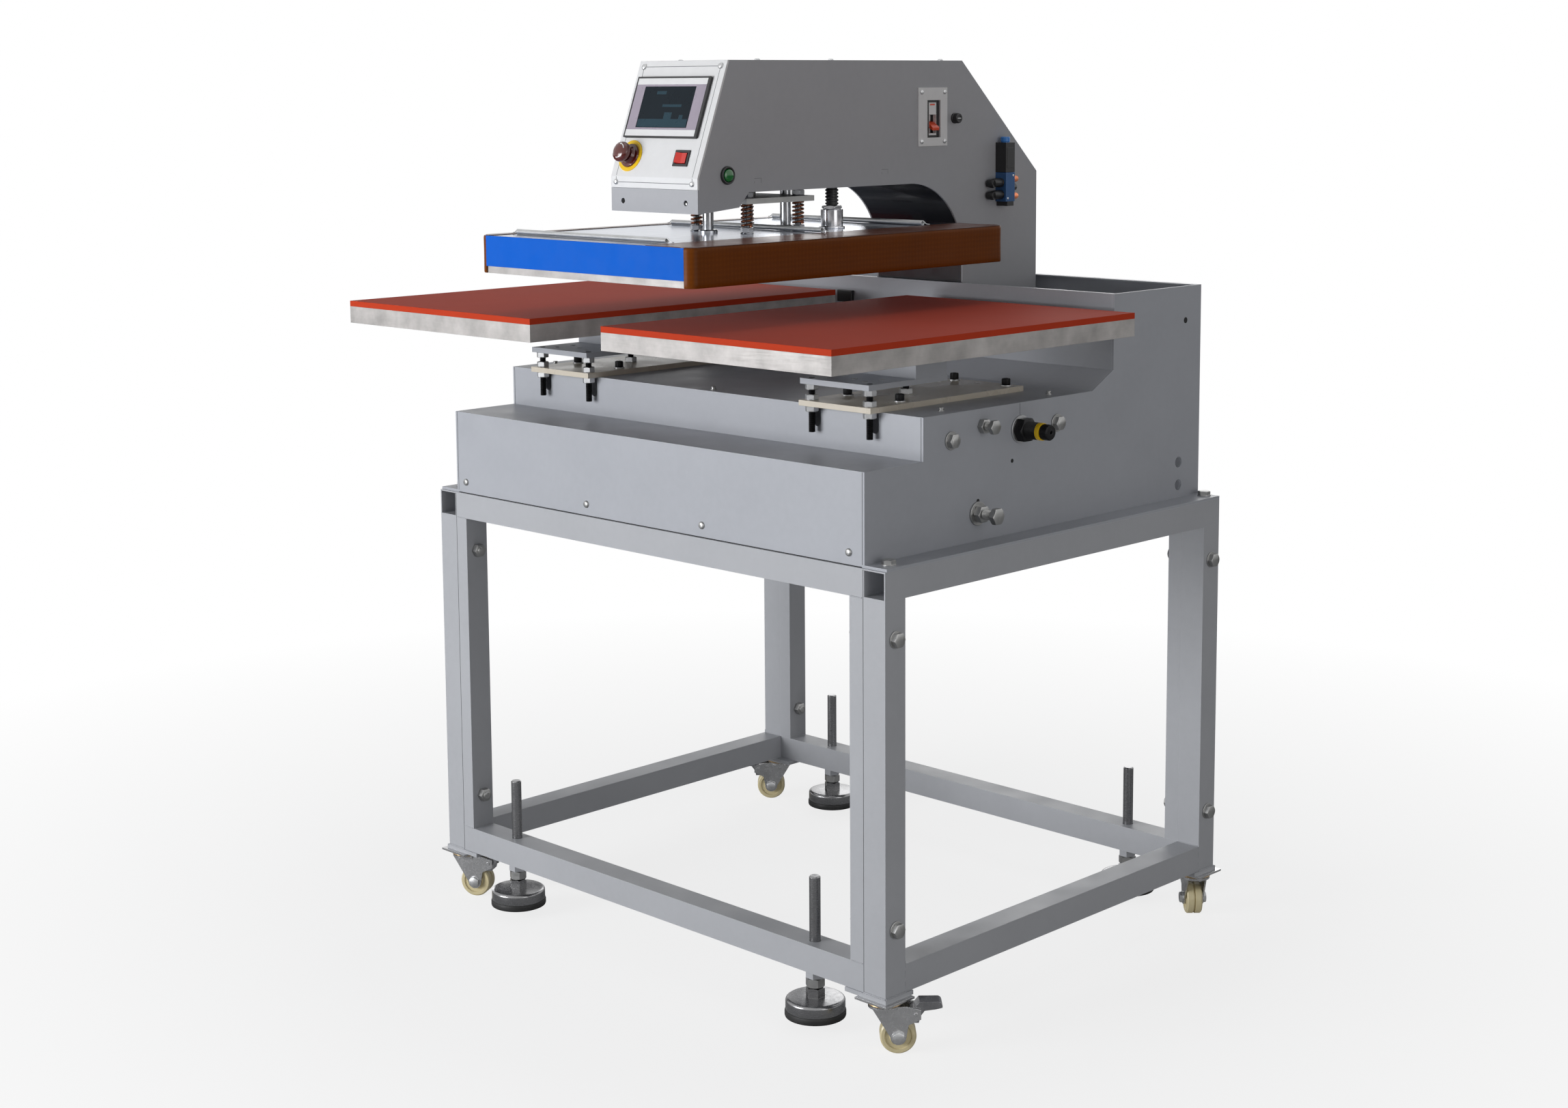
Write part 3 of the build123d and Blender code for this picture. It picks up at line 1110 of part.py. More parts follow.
def hanger_plate():
    """Plate above the heater with the piston rod and the piston on it."""
    half = HANGER_SIZE / 2
    y = PLATEN_Y
    plate = block((-half, half), (y - half, y + half), (HANGER_BOTTOM, HANGER_TOP))
    for sx, sy in spring_places():
        plate -= rod_z(sx, sy, HANGER_BOTTOM - 1, HANGER_TOP + 1, SPRING_BOLT_R + BOLT_CLEAR)
    piston_top = MOUNT_TOP + CYLINDER_H - CYLINDER_CAP - 2
    rod = rod_z(0, y, HANGER_TOP, piston_top - PISTON_T, ROD_R)
    piston = rod_z(0, y, piston_top - PISTON_T, piston_top, PISTON_R - RUN_FIT)
    return [plate, rod + piston]


def press_posts():
    """Two guide posts and four spring bolts, each with a foot nut and a top nut."""
    pieces = []
    for side in (-1, 1):
        y = PLATEN_Y + side * POST_Y
        post = rod_z(0, y, COVER_TOP, COVER_TOP + POST_TOP, POST_R)
        post += rod_z(0, y, COVER_TOP, COVER_TOP + 5, POST_R + 6)
        pieces.append(post)
    for x, y in spring_places():
        pieces.append(rod_z(x, y, COVER_TOP, HANGER_TOP + 9.3, SPRING_BOLT_R))
        bore = rod_z(x, y, COVER_TOP - 1, HANGER_TOP + 10, SPRING_BOLT_R + RUN_FIT)
        pieces.append(hex_z(x, y, COVER_TOP, COVER_TOP + 8.4, 17) - bore)
        pieces.append(hex_z(x, y, HANGER_TOP, HANGER_TOP + 8.4, 17) - bore)
    return pieces


SPRING_LOW = COVER_TOP + 8.4 + SPRING_WIRE_R + GAP
SPRING_HIGH = HANGER_BOTTOM - SPRING_WIRE_R - GAP


def helix_point(turn):
    """Point and direction of the spring's centre line after a number of turns."""
    angle = 2 * math.pi * turn
    rise = (SPRING_HIGH - SPRING_LOW) / SPRING_TURNS
    r = SPRING_COIL_R
    point = Vector(r * math.cos(angle), r * math.sin(angle), SPRING_LOW + rise * turn)
    slope = rise / (2 * math.pi)
    return point, Vector(-r * math.sin(angle), r * math.cos(angle), slope).normalized()


def helix_arcs(turns, parts):
    """The helix as pairs of tangent arcs, a pair to each part of a turn."""
    arcs = []
    for i in range(turns * parts):
        p0, t0 = helix_point(i / parts)
        p1, t1 = helix_point((i + 1) / parts)
        v = p1 - p0
        a = 2 * (t0.dot(t1) - 1)
        b = -2 * v.dot(t0 + t1)
        d = (-b - math.sqrt(b * b - 4 * a * v.dot(v))) / (2 * a)
        q0, q1 = p0 + t0 * d, p1 - t1 * d
        joint = (q0 + q1) * 0.5
        arcs.append(TangentArc(p0, joint, tangent=t0))
        arcs.append(TangentArc(joint, p1, tangent=q1 - q0))
    return arcs


def press_spring():
    """One coil spring swept in one piece round its bolt."""
    p0, t0 = helix_point(0)
    section = Plane(origin=p0, z_dir=t0) * Circle(SPRING_WIRE_R)
    return sweep(section, path=Wire(helix_arcs(SPRING_TURNS, 2)))


def spring_self_gap():
    """Least free space between neighbouring coils, measured on points of the centre line."""
    steps = 48
    points = [helix_point(i / steps)[0] for i in range(SPRING_TURNS * steps + 1)]
    pairs = [(a, b) for a in range(len(points)) for b in range(a + steps // 2, len(points))]
    least = min((points[a] - points[b]).length for a, b in pairs)
    return least - 2 * SPRING_WIRE_R


def terminal_box():
    """Connection box on the heater's cover, with the corrugated conduit up into the head."""
    x, y = TERMINAL_X, PLATEN_Y + TERMINAL_Y
    top = COVER_TOP + TERMINAL_H
    box = block((x - TERMINAL_W / 2, x + TERMINAL_W / 2), (y - TERMINAL_D / 2, y + TERMINAL_D / 2),
                (COVER_TOP, top))
    box = fillet(box.edges().filter_by(Axis.Z), 3)
    outer = []
    ribs = int((CONDUIT_TOP - TERMINAL_H) / CONDUIT_PITCH)
    for i in range(ribs):
        z = i * CONDUIT_PITCH
        outer += [(CONDUIT_R - 1.8, z), (CONDUIT_R, z + CONDUIT_PITCH * 0.3),
                  (CONDUIT_R, z + CONDUIT_PITCH * 0.6)]
    outer.append((CONDUIT_R - 1.8, ribs * CONDUIT_PITCH))
    profile = polygon([(CONDUIT_BORE, 0)] + outer + [(CONDUIT_BORE, ribs * CONDUIT_PITCH)])
    conduit = Pos(x, y, top) * revolve(Plane.XZ * profile, Axis.Z)
    return [box, conduit]


def on_head(pieces):
    """Move pieces laid out about the head's middle to its place over the stations."""
    pieces = pieces if isinstance(pieces, list) else [pieces]
    return [Pos(HEAD_X, 0, 0) * piece for piece in pieces]


# Write every node

os.makedirs("parts", exist_ok=True)

save("side_frame_left", *side_frame(-1))
save("side_frame_right", *side_frame(1))
save("front_frame", *cross_frame(-1))
save("rear_frame", *cross_frame(1))
fasteners = []
for corner_side, corner_end in CORNERS.values():
    lock_top = LEG_BOTTOM - WELD_NUT_H
    fasteners.append(foot_nut(corner_side, corner_end, lock_top - STEM_NUT_H, lock_top))
    fasteners.append(caster_screw(corner_side, corner_end))
    for bolt_rise in (FRAME_BOLT_LOW, FRAME_BOLT_HIGH):
        fasteners += frame_bolt(corner_side, corner_end * LEG_Y, LEG_BOTTOM + bolt_rise)
save("stand_fasteners", *fasteners)
save("caster_plates", *[Pos(side * LEG_X, end * LEG_Y, 0) * caster_plate() for side, end in CORNERS.values()])
for key, (corner_side, corner_end) in CORNERS.items():
    save(f"foot_{key}", *levelling_foot(corner_side, corner_end))
    save(f"caster_fork_{key}", at_leg(key, caster_fork()))
    save(f"caster_wheel_{key}", at_leg(key, caster_wheel()))
    save(f"brake_pedal_{key}", at_leg(key, brake_pedal()))

save("cabinet_sides", cabinet_side(-1), cabinet_side(1))
save("front_cover", front_cover())
save("deck_panel", deck_panel())
save("rear_panel", rear_panel())
save("cabinet_fasteners", *cabinet_fasteners())
save("support_beams", *support_beam(BEAM_FRONT_Y), *support_beam(BEAM_REAR_Y))
save("traverse_cylinder", *traverse_cylinder())
save("shock_absorbers", *shock_absorber(-1), *shock_absorber(1))

save("station_plates", *[base_plate(s) for s in STATIONS])
save("platen_supports", *[piece for s in STATIONS for piece in platen_support(s)])
save("station_screws", *[piece for s in STATIONS for piece in station_screws(s)])
save("station_nuts", *[piece for s in STATIONS for piece in station_nuts(s)])
save("lower_platens", *[lower_platen(s) for s in STATIONS])
save("silicone_pads", *[silicone_pad(s) for s in STATIONS])

save("head_carriage", *on_head(head_carriage()))
save("head_sides", *on_head([head_side(-1), head_side(1)]))
save("head_cover", *on_head(head_cover()))
save("arch_liner", *on_head(arch_liner()))
save("control_panel", *on_head(control_panel()))
save("head_front_plate", *on_head(head_front_plate()))
save("head_screws", *on_head(head_screws()))
save("touch_screen", *on_head(touch_screen()))
save("panel_fittings", *on_head(panel_fittings()))
save("e_stop_knob", *on_head(e_stop_knob()))
save("power_rocker", *on_head(power_rocker()))
save("start_button", *on_head(start_button()))
save("breaker_plate", *on_head(breaker()))
save("breaker_lever", *on_head(breaker_lever()))
save("solenoid_valve", *on_head(solenoid_valve()))
save("press_cylinder", *on_head(press_cylinder()))

save("heating_plate", *on_head(heating_plate()))
save("heater_cover", *on_head(heater_cover()))
save("front_guard", *on_head(front_guard()))
save("side_guards", *on_head(side_guards()))
save("hanger_plate", *on_head(hanger_plate()))
save("press_posts", *on_head(press_posts()))
coils = [Pos(x, y, 0) * press_spring() for x, y in spring_places()]
save("press_springs", *on_head(coils + [cover_spring(y) for y in COVER_SPRING_Y]))
save("terminal_box", *on_head(terminal_box()))

print(f"least gap between spring coils {spring_self_gap():.2f} mm")
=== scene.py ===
# %% [markdown]
# # Dressing a dual station heat press
# The machine is a welded stand on casters, a sheet metal cabinet, two lower platens with red
# silicone pads and a head that slides sideways above them. Its shapes and joints come finished
# from the CAD model. This notebook gives every piece its real surface, and models again the small
# pieces whose charm is in fine form: threads, chamfered nuts, cloth, springs and controls.
#
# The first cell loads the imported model. Everything in Blender is in metres, in the CAD's frame.

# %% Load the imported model
import bpy
import bmesh
import math
import random
from mathutils import Matrix, Vector


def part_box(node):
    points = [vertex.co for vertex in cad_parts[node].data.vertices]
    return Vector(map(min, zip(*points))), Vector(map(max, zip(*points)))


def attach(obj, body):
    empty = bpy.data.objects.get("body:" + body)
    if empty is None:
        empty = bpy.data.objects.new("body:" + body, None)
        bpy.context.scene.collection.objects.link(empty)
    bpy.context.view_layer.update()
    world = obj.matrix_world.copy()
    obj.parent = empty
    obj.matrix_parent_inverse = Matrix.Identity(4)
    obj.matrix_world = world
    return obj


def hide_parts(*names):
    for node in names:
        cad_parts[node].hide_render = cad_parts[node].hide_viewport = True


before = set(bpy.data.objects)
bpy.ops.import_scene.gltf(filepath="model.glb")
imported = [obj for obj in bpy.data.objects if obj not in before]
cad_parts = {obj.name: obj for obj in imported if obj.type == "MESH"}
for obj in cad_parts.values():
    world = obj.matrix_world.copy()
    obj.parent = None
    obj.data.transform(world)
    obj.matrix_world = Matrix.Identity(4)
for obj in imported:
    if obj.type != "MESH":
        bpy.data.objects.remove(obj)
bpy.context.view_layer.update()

# %% [markdown]
# The maker of such a machine thinks in millimetres about the middle of the stand, so the cells
# below do too. One matrix turns such a place into metres in the frame. The stand's own side frame
# says where the middle lies, so nothing has to be fitted by hand.

# %% Millimetres about the middle of the stand
MM = 0.001
rail_low, rail_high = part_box("side_frame_right")
MIDDLE_Y = (rail_low.y + rail_high.y) / 2
UPRIGHT = Matrix.Identity(4)
ALONG_X = Matrix.Rotation(math.radians(90), 4, "Y")
ALONG_Y = Matrix.Rotation(math.radians(-90), 4, "X")


def at(x, y, z, turn=UPRIGHT):
    """Matrix from millimetres about a point of the machine to metres in the frame."""
    return Matrix.Translation((x * MM, y * MM + MIDDLE_Y, z * MM)) @ turn @ Matrix.Scale(MM, 4)


print("middle of the stand at y =", round(MIDDLE_Y, 4), "m")

# %% [markdown]
# ## Camera
# The photograph was taken from the front right, a little above the pads, with a short telephoto
# lens. Its frame was cropped low, which a small vertical shift repeats. The lens and the place
# were fitted once to the machine's corners in the photograph, and are written here as numbers.

# %% Camera
CAMERA_PLACE = (2543.3, -2651.8, 1313.8)
CAMERA_YAW = 0.781404
CAMERA_PITCH = 0.130126
CAMERA_ROLL = -0.0067146
FOCAL_PX = 3459.7
CENTRE_PX = (1146.75, 575.11)
PHOTO_W = 2296
PHOTO_H = 1623
SENSOR_MM = 36.0

forward = Vector((-math.sin(CAMERA_YAW) * math.cos(CAMERA_PITCH),
                  math.cos(CAMERA_YAW) * math.cos(CAMERA_PITCH), -math.sin(CAMERA_PITCH)))
level_right = Vector((math.cos(CAMERA_YAW), math.sin(CAMERA_YAW), 0.0))
level_up = level_right.cross(forward)
right = level_right * math.cos(CAMERA_ROLL) + level_up * math.sin(CAMERA_ROLL)
up = level_up * math.cos(CAMERA_ROLL) - level_right * math.sin(CAMERA_ROLL)

lens = bpy.data.cameras.new("camera")
lens.sensor_width = SENSOR_MM
lens.lens = FOCAL_PX / PHOTO_W * SENSOR_MM
lens.shift_x = (PHOTO_W / 2 - CENTRE_PX[0]) / PHOTO_W
lens.shift_y = (CENTRE_PX[1] - PHOTO_H / 2) / PHOTO_W
lens.clip_end = 50.0
camera = bpy.data.objects.new("camera", lens)
bpy.context.scene.collection.objects.link(camera)
axes = Matrix((right, up, -forward)).transposed().to_4x4()
place = Vector(CAMERA_PLACE) * MM + Vector((0, MIDDLE_Y, 0))
camera.matrix_world = Matrix.Translation(place) @ axes
bpy.context.scene.camera = camera
bpy.context.scene.view_settings.view_transform = "Standard"
print("lens", round(lens.lens, 2), "mm, shift", round(lens.shift_y, 4))

# %% [markdown]
# ## Light
# In a studio such a machine is lit by one large soft box at the front left, which makes the
# faces towards the operator bright and the right side half as bright. A soft fill from the right
# and a little from above keep the other sides readable. The world is only a faint grey light for
# surfaces, but the camera and mirrors see it as a white backdrop.

# %% Studio light
TARGET = Vector((0.0, 0.0, 0.75))


def soft_box(name, place, size, power, colour=(1.0, 1.0, 1.0)):
    """A large area lamp that looks at the middle of the machine."""
    lamp = bpy.data.lights.new(name, "AREA")
    lamp.shape = "RECTANGLE"
    lamp.size, lamp.size_y = size
    lamp.energy = power
    lamp.color = colour
    holder = bpy.data.objects.new(name, lamp)
    bpy.context.scene.collection.objects.link(holder)
    holder.location = place
    holder.rotation_euler = (TARGET - Vector(place)).to_track_quat("-Z", "Y").to_euler()
    return holder


soft_box("key_light", (-1.6, -4.7, 1.25), (2.6, 2.2), 178.0, (0.97, 0.98, 1.0))
soft_box("fill_light", (4.6, -0.6, 1.3), (2.4, 2.4), 30.0, (1.0, 0.99, 0.98))
soft_box("top_light", (0.3, 0.2, 4.2), (2.0, 2.0), 9.0)
soft_box("back_light", (-2.5, 4.0, 2.2), (2.4, 2.0), 25.0)



def combined(web, operation, first, second):
    """Output of a maths node that joins two values."""
    node = web.nodes.new("ShaderNodeMath")
    node.operation = operation
    web.links.new(first, node.inputs[0])
    web.links.new(second, node.inputs[1])
    return node.outputs[0]


def blended(web, factor, first, second, output_kind):
    """Mix two shaders by a factor, and lead the result to an output node."""
    mix = web.nodes.new("ShaderNodeMixShader")
    web.links.new(factor, mix.inputs["Fac"])
    web.links.new(first.outputs[0], mix.inputs[1])
    web.links.new(second.outputs[0], mix.inputs[2])
    output = web.nodes.new(output_kind)
    web.links.new(mix.outputs[0], output.inputs["Surface"])


world = bpy.data.worlds.new("studio")
bpy.context.scene.world = world
world.use_nodes = True
web = world.node_tree
web.nodes.clear()
WORLD_LIGHT = 0.13
path = web.nodes.new("ShaderNodeLightPath").outputs
mirrored = combined(web, "MAXIMUM", path["Is Glossy Ray"], path["Is Transmission Ray"])
seen = combined(web, "MAXIMUM", path["Is Camera Ray"], mirrored)
soft = web.nodes.new("ShaderNodeBackground")
soft.inputs["Color"].default_value = (0.95, 0.97, 1.0, 1.0)
soft.inputs["Strength"].default_value = WORLD_LIGHT
white = web.nodes.new("ShaderNodeBackground")
white.inputs["Color"].default_value = (1.0, 1.0, 1.0, 1.0)
white.inputs["Strength"].default_value = 1.0
blended(web, seen, soft, white, "ShaderNodeOutputWorld")

# %% [markdown]
# ## Floor
# The floor is plain and pale. Near the machine it is a real surface that takes the soft shadow.
# Further out it fades into the white backdrop, so no horizon shows. Even near the machine most of
# it glows, which keeps the shadow faint. The fade depends on the place on the floor alone, so it is
# the same from every side.

# %% Floor
FLOOR_REACH = 30.0
FADE_START = 0.7
FADE_END = 2.2
NEAR_GLOW = 0.80
bpy.ops.mesh.primitive_grid_add(x_subdivisions=4, y_subdivisions=4, size=FLOOR_REACH * 2)
floor = bpy.context.object
floor.name = "floor"
finish = bpy.data.materials.new("floor")
finish.use_nodes = True
web = finish.node_tree
web.nodes.clear()
surface = web.nodes.new("ShaderNodeBsdfDiffuse")
surface.inputs["Color"].default_value = (0.80, 0.80, 0.80, 1.0)
glow = web.nodes.new("ShaderNodeEmission")
coords = web.nodes.new("ShaderNodeTexCoord")
spread = web.nodes.new("ShaderNodeVectorMath")
spread.operation = "LENGTH"
web.links.new(coords.outputs["Object"], spread.inputs[0])
fade = web.nodes.new("ShaderNodeMapRange")
fade.inputs["From Min"].default_value = FADE_START
fade.inputs["From Max"].default_value = FADE_END
fade.inputs["To Min"].default_value = NEAR_GLOW
web.links.new(spread.outputs["Value"], fade.inputs["Value"])
path = web.nodes.new("ShaderNodeLightPath").outputs
direct = combined(web, "MULTIPLY", path["Is Camera Ray"], fade.outputs["Result"])
blended(web, direct, surface, glow, "ShaderNodeOutputMaterial")
floor.data.materials.append(finish)
print("floor fades from", FADE_START, "to", FADE_END, "m")

# %% [markdown]
# ## Finishes
# Every finish is a small web of nodes around one Principled shader. A real surface is never one
# flat colour: paint is faintly cloudy and has a fine orange peel, plated steel is streaky, and
# edges catch light because they are slightly round. The helpers here add those things, so that
# each finish below stays short. All patterns are laid out in object space, in metres.

# %% Helpers for finishes
def new_finish(name, colour, roughness, metallic=0.0):
    """A material with one Principled shader, and a dictionary of what the helpers need."""
    material = bpy.data.materials.new(name)
    material.use_nodes = True
    web = material.node_tree
    web.nodes.clear()
    output = web.nodes.new("ShaderNodeOutputMaterial")
    shader = web.nodes.new("ShaderNodeBsdfPrincipled")
    web.links.new(shader.outputs[0], output.inputs["Surface"])
    shader.inputs["Base Color"].default_value = (*colour, 1.0)
    shader.inputs["Roughness"].default_value = roughness
    shader.inputs["Metallic"].default_value = metallic
    coords = web.nodes.new("ShaderNodeTexCoord")
    return {"material": material, "web": web, "shader": shader, "coords": coords.outputs["Object"]}


def stretched(finish, scale):
    """Object coordinates scaled unevenly, so that a pattern becomes streaks."""
    node = finish["web"].nodes.new("ShaderNodeVectorMath")
    node.operation = "MULTIPLY"
    finish["web"].links.new(finish["coords"], node.inputs[0])
    node.inputs[1].default_value = scale
    return node.outputs["Vector"]


def noise(finish, scale, detail=3.0, stretch=(1.0, 1.0, 1.0), rough=0.55):
    """Soft random pattern with about that many grains to a metre."""
    node = finish["web"].nodes.new("ShaderNodeTexNoise")
    node.inputs["Scale"].default_value = scale
    node.inputs["Detail"].default_value = detail
    node.inputs["Roughness"].default_value = rough
    finish["web"].links.new(stretched(finish, stretch), node.inputs["Vector"])
    return node.outputs["Fac"]


def ranged(finish, value, low, high, to_low=0.0, to_high=1.0):
    """A value stretched from one span to another and kept inside it."""
    node = finish["web"].nodes.new("ShaderNodeMapRange")
    for name, number in (("From Min", low), ("From Max", high), ("To Min", to_low), ("To Max", to_high)):
        node.inputs[name].default_value = number
    finish["web"].links.new(value, node.inputs["Value"])
    return node.outputs["Result"]


def tinted(finish, factor, first, second):
    """A colour between two colours. Either may be a colour or another node's output."""
    node = finish["web"].nodes.new("ShaderNodeMix")
    node.data_type = "RGBA"
    finish["web"].links.new(factor, node.inputs["Factor"])
    for socket, colour in (("A", first), ("B", second)):
        target = [s for s in node.inputs if s.name == socket and s.type == "RGBA"][0]
        if isinstance(colour, tuple):
            target.default_value = (*colour, 1.0)
        else:
            finish["web"].links.new(colour, target)
    return [s for s in node.outputs if s.type == "RGBA"][0]


def round_edges(finish, radius_mm):
    """Normal of edges that look rounded by that radius, without changing the shape."""
    node = finish["web"].nodes.new("ShaderNodeBevel")
    node.samples = 4
    node.inputs["Radius"].default_value = radius_mm * MM
    return node.outputs["Normal"]


def edge_mask(finish, radius_mm):
    """1 along sharp edges and 0 on flat faces."""
    web = finish["web"]
    flat = web.nodes.new("ShaderNodeNewGeometry")
    dot = web.nodes.new("ShaderNodeVectorMath")
    dot.operation = "DOT_PRODUCT"
    web.links.new(flat.outputs["Normal"], dot.inputs[0])
    web.links.new(round_edges(finish, radius_mm), dot.inputs[1])
    return ranged(finish, dot.outputs["Value"], 0.97, 0.80)


def relief(finish, height, depth_mm, strength=1.0, edge_mm=0.0):
    """Bump of a given depth on the shader, over rounded edges if asked."""
    node = finish["web"].nodes.new("ShaderNodeBump")
    node.inputs["Strength"].default_value = strength
    node.inputs["Distance"].default_value = depth_mm * MM
    finish["web"].links.new(height, node.inputs["Height"])
    if edge_mm:
        finish["web"].links.new(round_edges(finish, edge_mm), node.inputs["Normal"])
    finish["web"].links.new(node.outputs["Normal"], finish["shader"].inputs["Normal"])


def shade(colour, share):
    return tuple(min(1.0, c * share) for c in colour)


FINISHES = {}


def keep(name, finish):
    """Remember a finish by the name that the later cells use."""
    FINISHES[name] = finish["material"]
    print("finish", name)
    return finish["material"]


# %% [markdown]
# ### Silver-grey paint
# Stand, cabinet and head are sprayed with a satin silver-grey. It is a little cloudy over a hand's
# breadth and has an orange peel of one to two millimetres. Its edges are painted brighter, a painted
# highlight where the rounded edges catch light.

# %% Silver-grey paint
def satin_paint(name, colour, roughness=0.42, cloud=0.07, peel_mm=0.05, edge=1.35):
    finish = new_finish(name, colour, roughness)
    cloudy = tinted(finish, noise(finish, 5.0, 4.0), shade(colour, 1 - cloud), shade(colour, 1 + cloud))
    fine = ranged(finish, noise(finish, 90.0, 3.0), 0.35, 0.65, 0.0, 0.35)
    mottled = tinted(finish, fine, cloudy, shade(colour, 1.06))
    # Edges are lightened in colour: a painted highlight where light catches them.
    edge_highlighted = tinted(finish, edge_mask(finish, 1.2), mottled, shade(colour, edge))
    links, shader = finish["web"].links, finish["shader"]
    links.new(edge_highlighted, shader.inputs["Base Color"])
    links.new(ranged(finish, noise(finish, 14.0, 4.0), 0.3, 0.7, roughness - 0.06, roughness + 0.08),
              shader.inputs["Roughness"])
    relief(finish, noise(finish, 520.0, 2.0), peel_mm, 0.5, 0.8)
    return keep(name, finish)


satin_paint("stand_paint", (0.435, 0.445, 0.468), 0.44)
satin_paint("cabinet_paint", (0.420, 0.435, 0.470), 0.40)
satin_paint("head_paint", (0.420, 0.425, 0.445), 0.46, 0.05)
satin_paint("cream_plate", (0.66, 0.60, 0.50), 0.28, 0.05, 0.03, 1.15)
satin_paint("panel_white", (0.83, 0.83, 0.83), 0.38, 0.015, 0.02, 1.05)

# %% [markdown]
# ### Bare metals
# Bolts, nuts and casters are zinc plated, the platens are milled aluminium with a mottled oxide
# skin, and the heater's cover is a bright sheet. They are metallic, so their colour is that of
# their reflections, and what tells them apart is roughness and the direction of the streaks. Only
# the platens' oxide skin is mostly matt, and reflects little.

# %% Bare metals
EVEN = (1.0, 1.0, 1.0)
ALONG_HEIGHT = (1.0, 1.0, 6.0)


def bare_metal(name, colour, roughness, streak, grain, mottle, depth_mm=0.03, edge_mm=0.5, metallic=1.0):
    finish = new_finish(name, colour, roughness, metallic)
    patches = tinted(finish, ranged(finish, noise(finish, 26.0, 5.0), 0.3, 0.7),
                     shade(colour, 1 - mottle), shade(colour, 1 + mottle))
    links, shader = finish["web"].links, finish["shader"]
    links.new(patches, shader.inputs["Base Color"])
    lines = noise(finish, grain, 4.0, streak, 0.7)
    links.new(ranged(finish, lines, 0.3, 0.7, roughness * 0.75, roughness * 1.35), shader.inputs["Roughness"])
    relief(finish, lines, depth_mm, 0.35, edge_mm)
    return keep(name, finish)


bare_metal("zinc", (0.50, 0.505, 0.51), 0.40, EVEN, 300.0, 0.10)
bare_metal("zinc_dull", (0.36, 0.36, 0.355), 0.38, EVEN, 240.0, 0.14)
bare_metal("caster_zinc", (0.56, 0.56, 0.565), 0.24, EVEN, 260.0, 0.10)
bare_metal("foot_steel", (0.26, 0.26, 0.265), 0.24, ALONG_HEIGHT, 160.0, 0.08)
bare_metal("milled_aluminium", (0.45, 0.43, 0.415), 0.50, (0.15, 0.15, 3.0), 160.0, 0.22, 0.05, 0.8, 0.35)
bare_metal("bright_sheet", (0.40, 0.44, 0.53), 0.17, (4.0, 0.2, 1.0), 90.0, 0.05, 0.02, 0.5)
bare_metal("drive_aluminium", (0.62, 0.62, 0.63), 0.34, (0.1, 3.0, 3.0), 140.0, 0.06)
bare_metal("race_bronze", (0.42, 0.30, 0.17), 0.30, EVEN, 240.0, 0.15)
bare_metal("pedal_steel", (0.30, 0.30, 0.31), 0.24, EVEN, 120.0, 0.20)
bare_metal("sinter_bronze", (0.78, 0.30, 0.16), 0.55, EVEN, 900.0, 0.25, 0.25, 0.3)
bare_metal("spring_brown", (0.150, 0.055, 0.030), 0.30, EVEN, 260.0, 0.20)
bare_metal("post_steel", (0.34, 0.345, 0.36), 0.14, ALONG_HEIGHT, 160.0, 0.06)
bare_metal("fitting_nickel", (0.58, 0.58, 0.60), 0.12, EVEN, 200.0, 0.06)
bare_metal("black_oxide", (0.024, 0.024, 0.025), 0.40, EVEN, 260.0, 0.20)

# %% [markdown]
# ### Rubber, plastics and coated cloth
# The pads are silicone rubber: matt, with a faint pale haze painted on their tops, a painted sheen
# that stands for light reflected at grazing angles. The band around the heater is glass cloth with a
# brown non-stick coating, so its weave shows through a slight gloss. The controls are moulded
# plastic with a fine grain.

# %% Silicone pads
def silicone(name="silicone"):
    colour = (0.54, 0.052, 0.018)
    finish = new_finish(name, colour, 0.70)
    finish["shader"].inputs["Specular IOR Level"].default_value = 0.05
    base = tinted(finish, noise(finish, 8.0, 4.0), shade(colour, 0.93), shade(colour, 1.07))
    web = finish["web"]
    facing = web.nodes.new("ShaderNodeNewGeometry")
    split = web.nodes.new("ShaderNodeSeparateXYZ")
    web.links.new(facing.outputs["Normal"], split.inputs[0])
    # Upward faces are tinted pale: a painted sheen of reflected light on the tops.
    upward = ranged(finish, split.outputs["Z"], 0.5, 1.0)
    painted_sheen = ranged(finish, noise(finish, 3.2, 5.0), 0.35, 0.75, 0.0, 0.04)
    sheen_tinted = tinted(finish, combined(web, "MULTIPLY", upward, painted_sheen), base, (0.52, 0.34, 0.30))
    web.links.new(sheen_tinted, finish["shader"].inputs["Base Color"])
    finish["shader"].inputs["Sheen Weight"].default_value = 0.05
    finish["shader"].inputs["Sheen Roughness"].default_value = 0.5
    relief(finish, noise(finish, 700.0, 2.0), 0.04, 0.5, 0.8)
    return keep(name, finish)


silicone()

# %% Coated glass cloth
WEAVE_PITCH_MM = 1.1


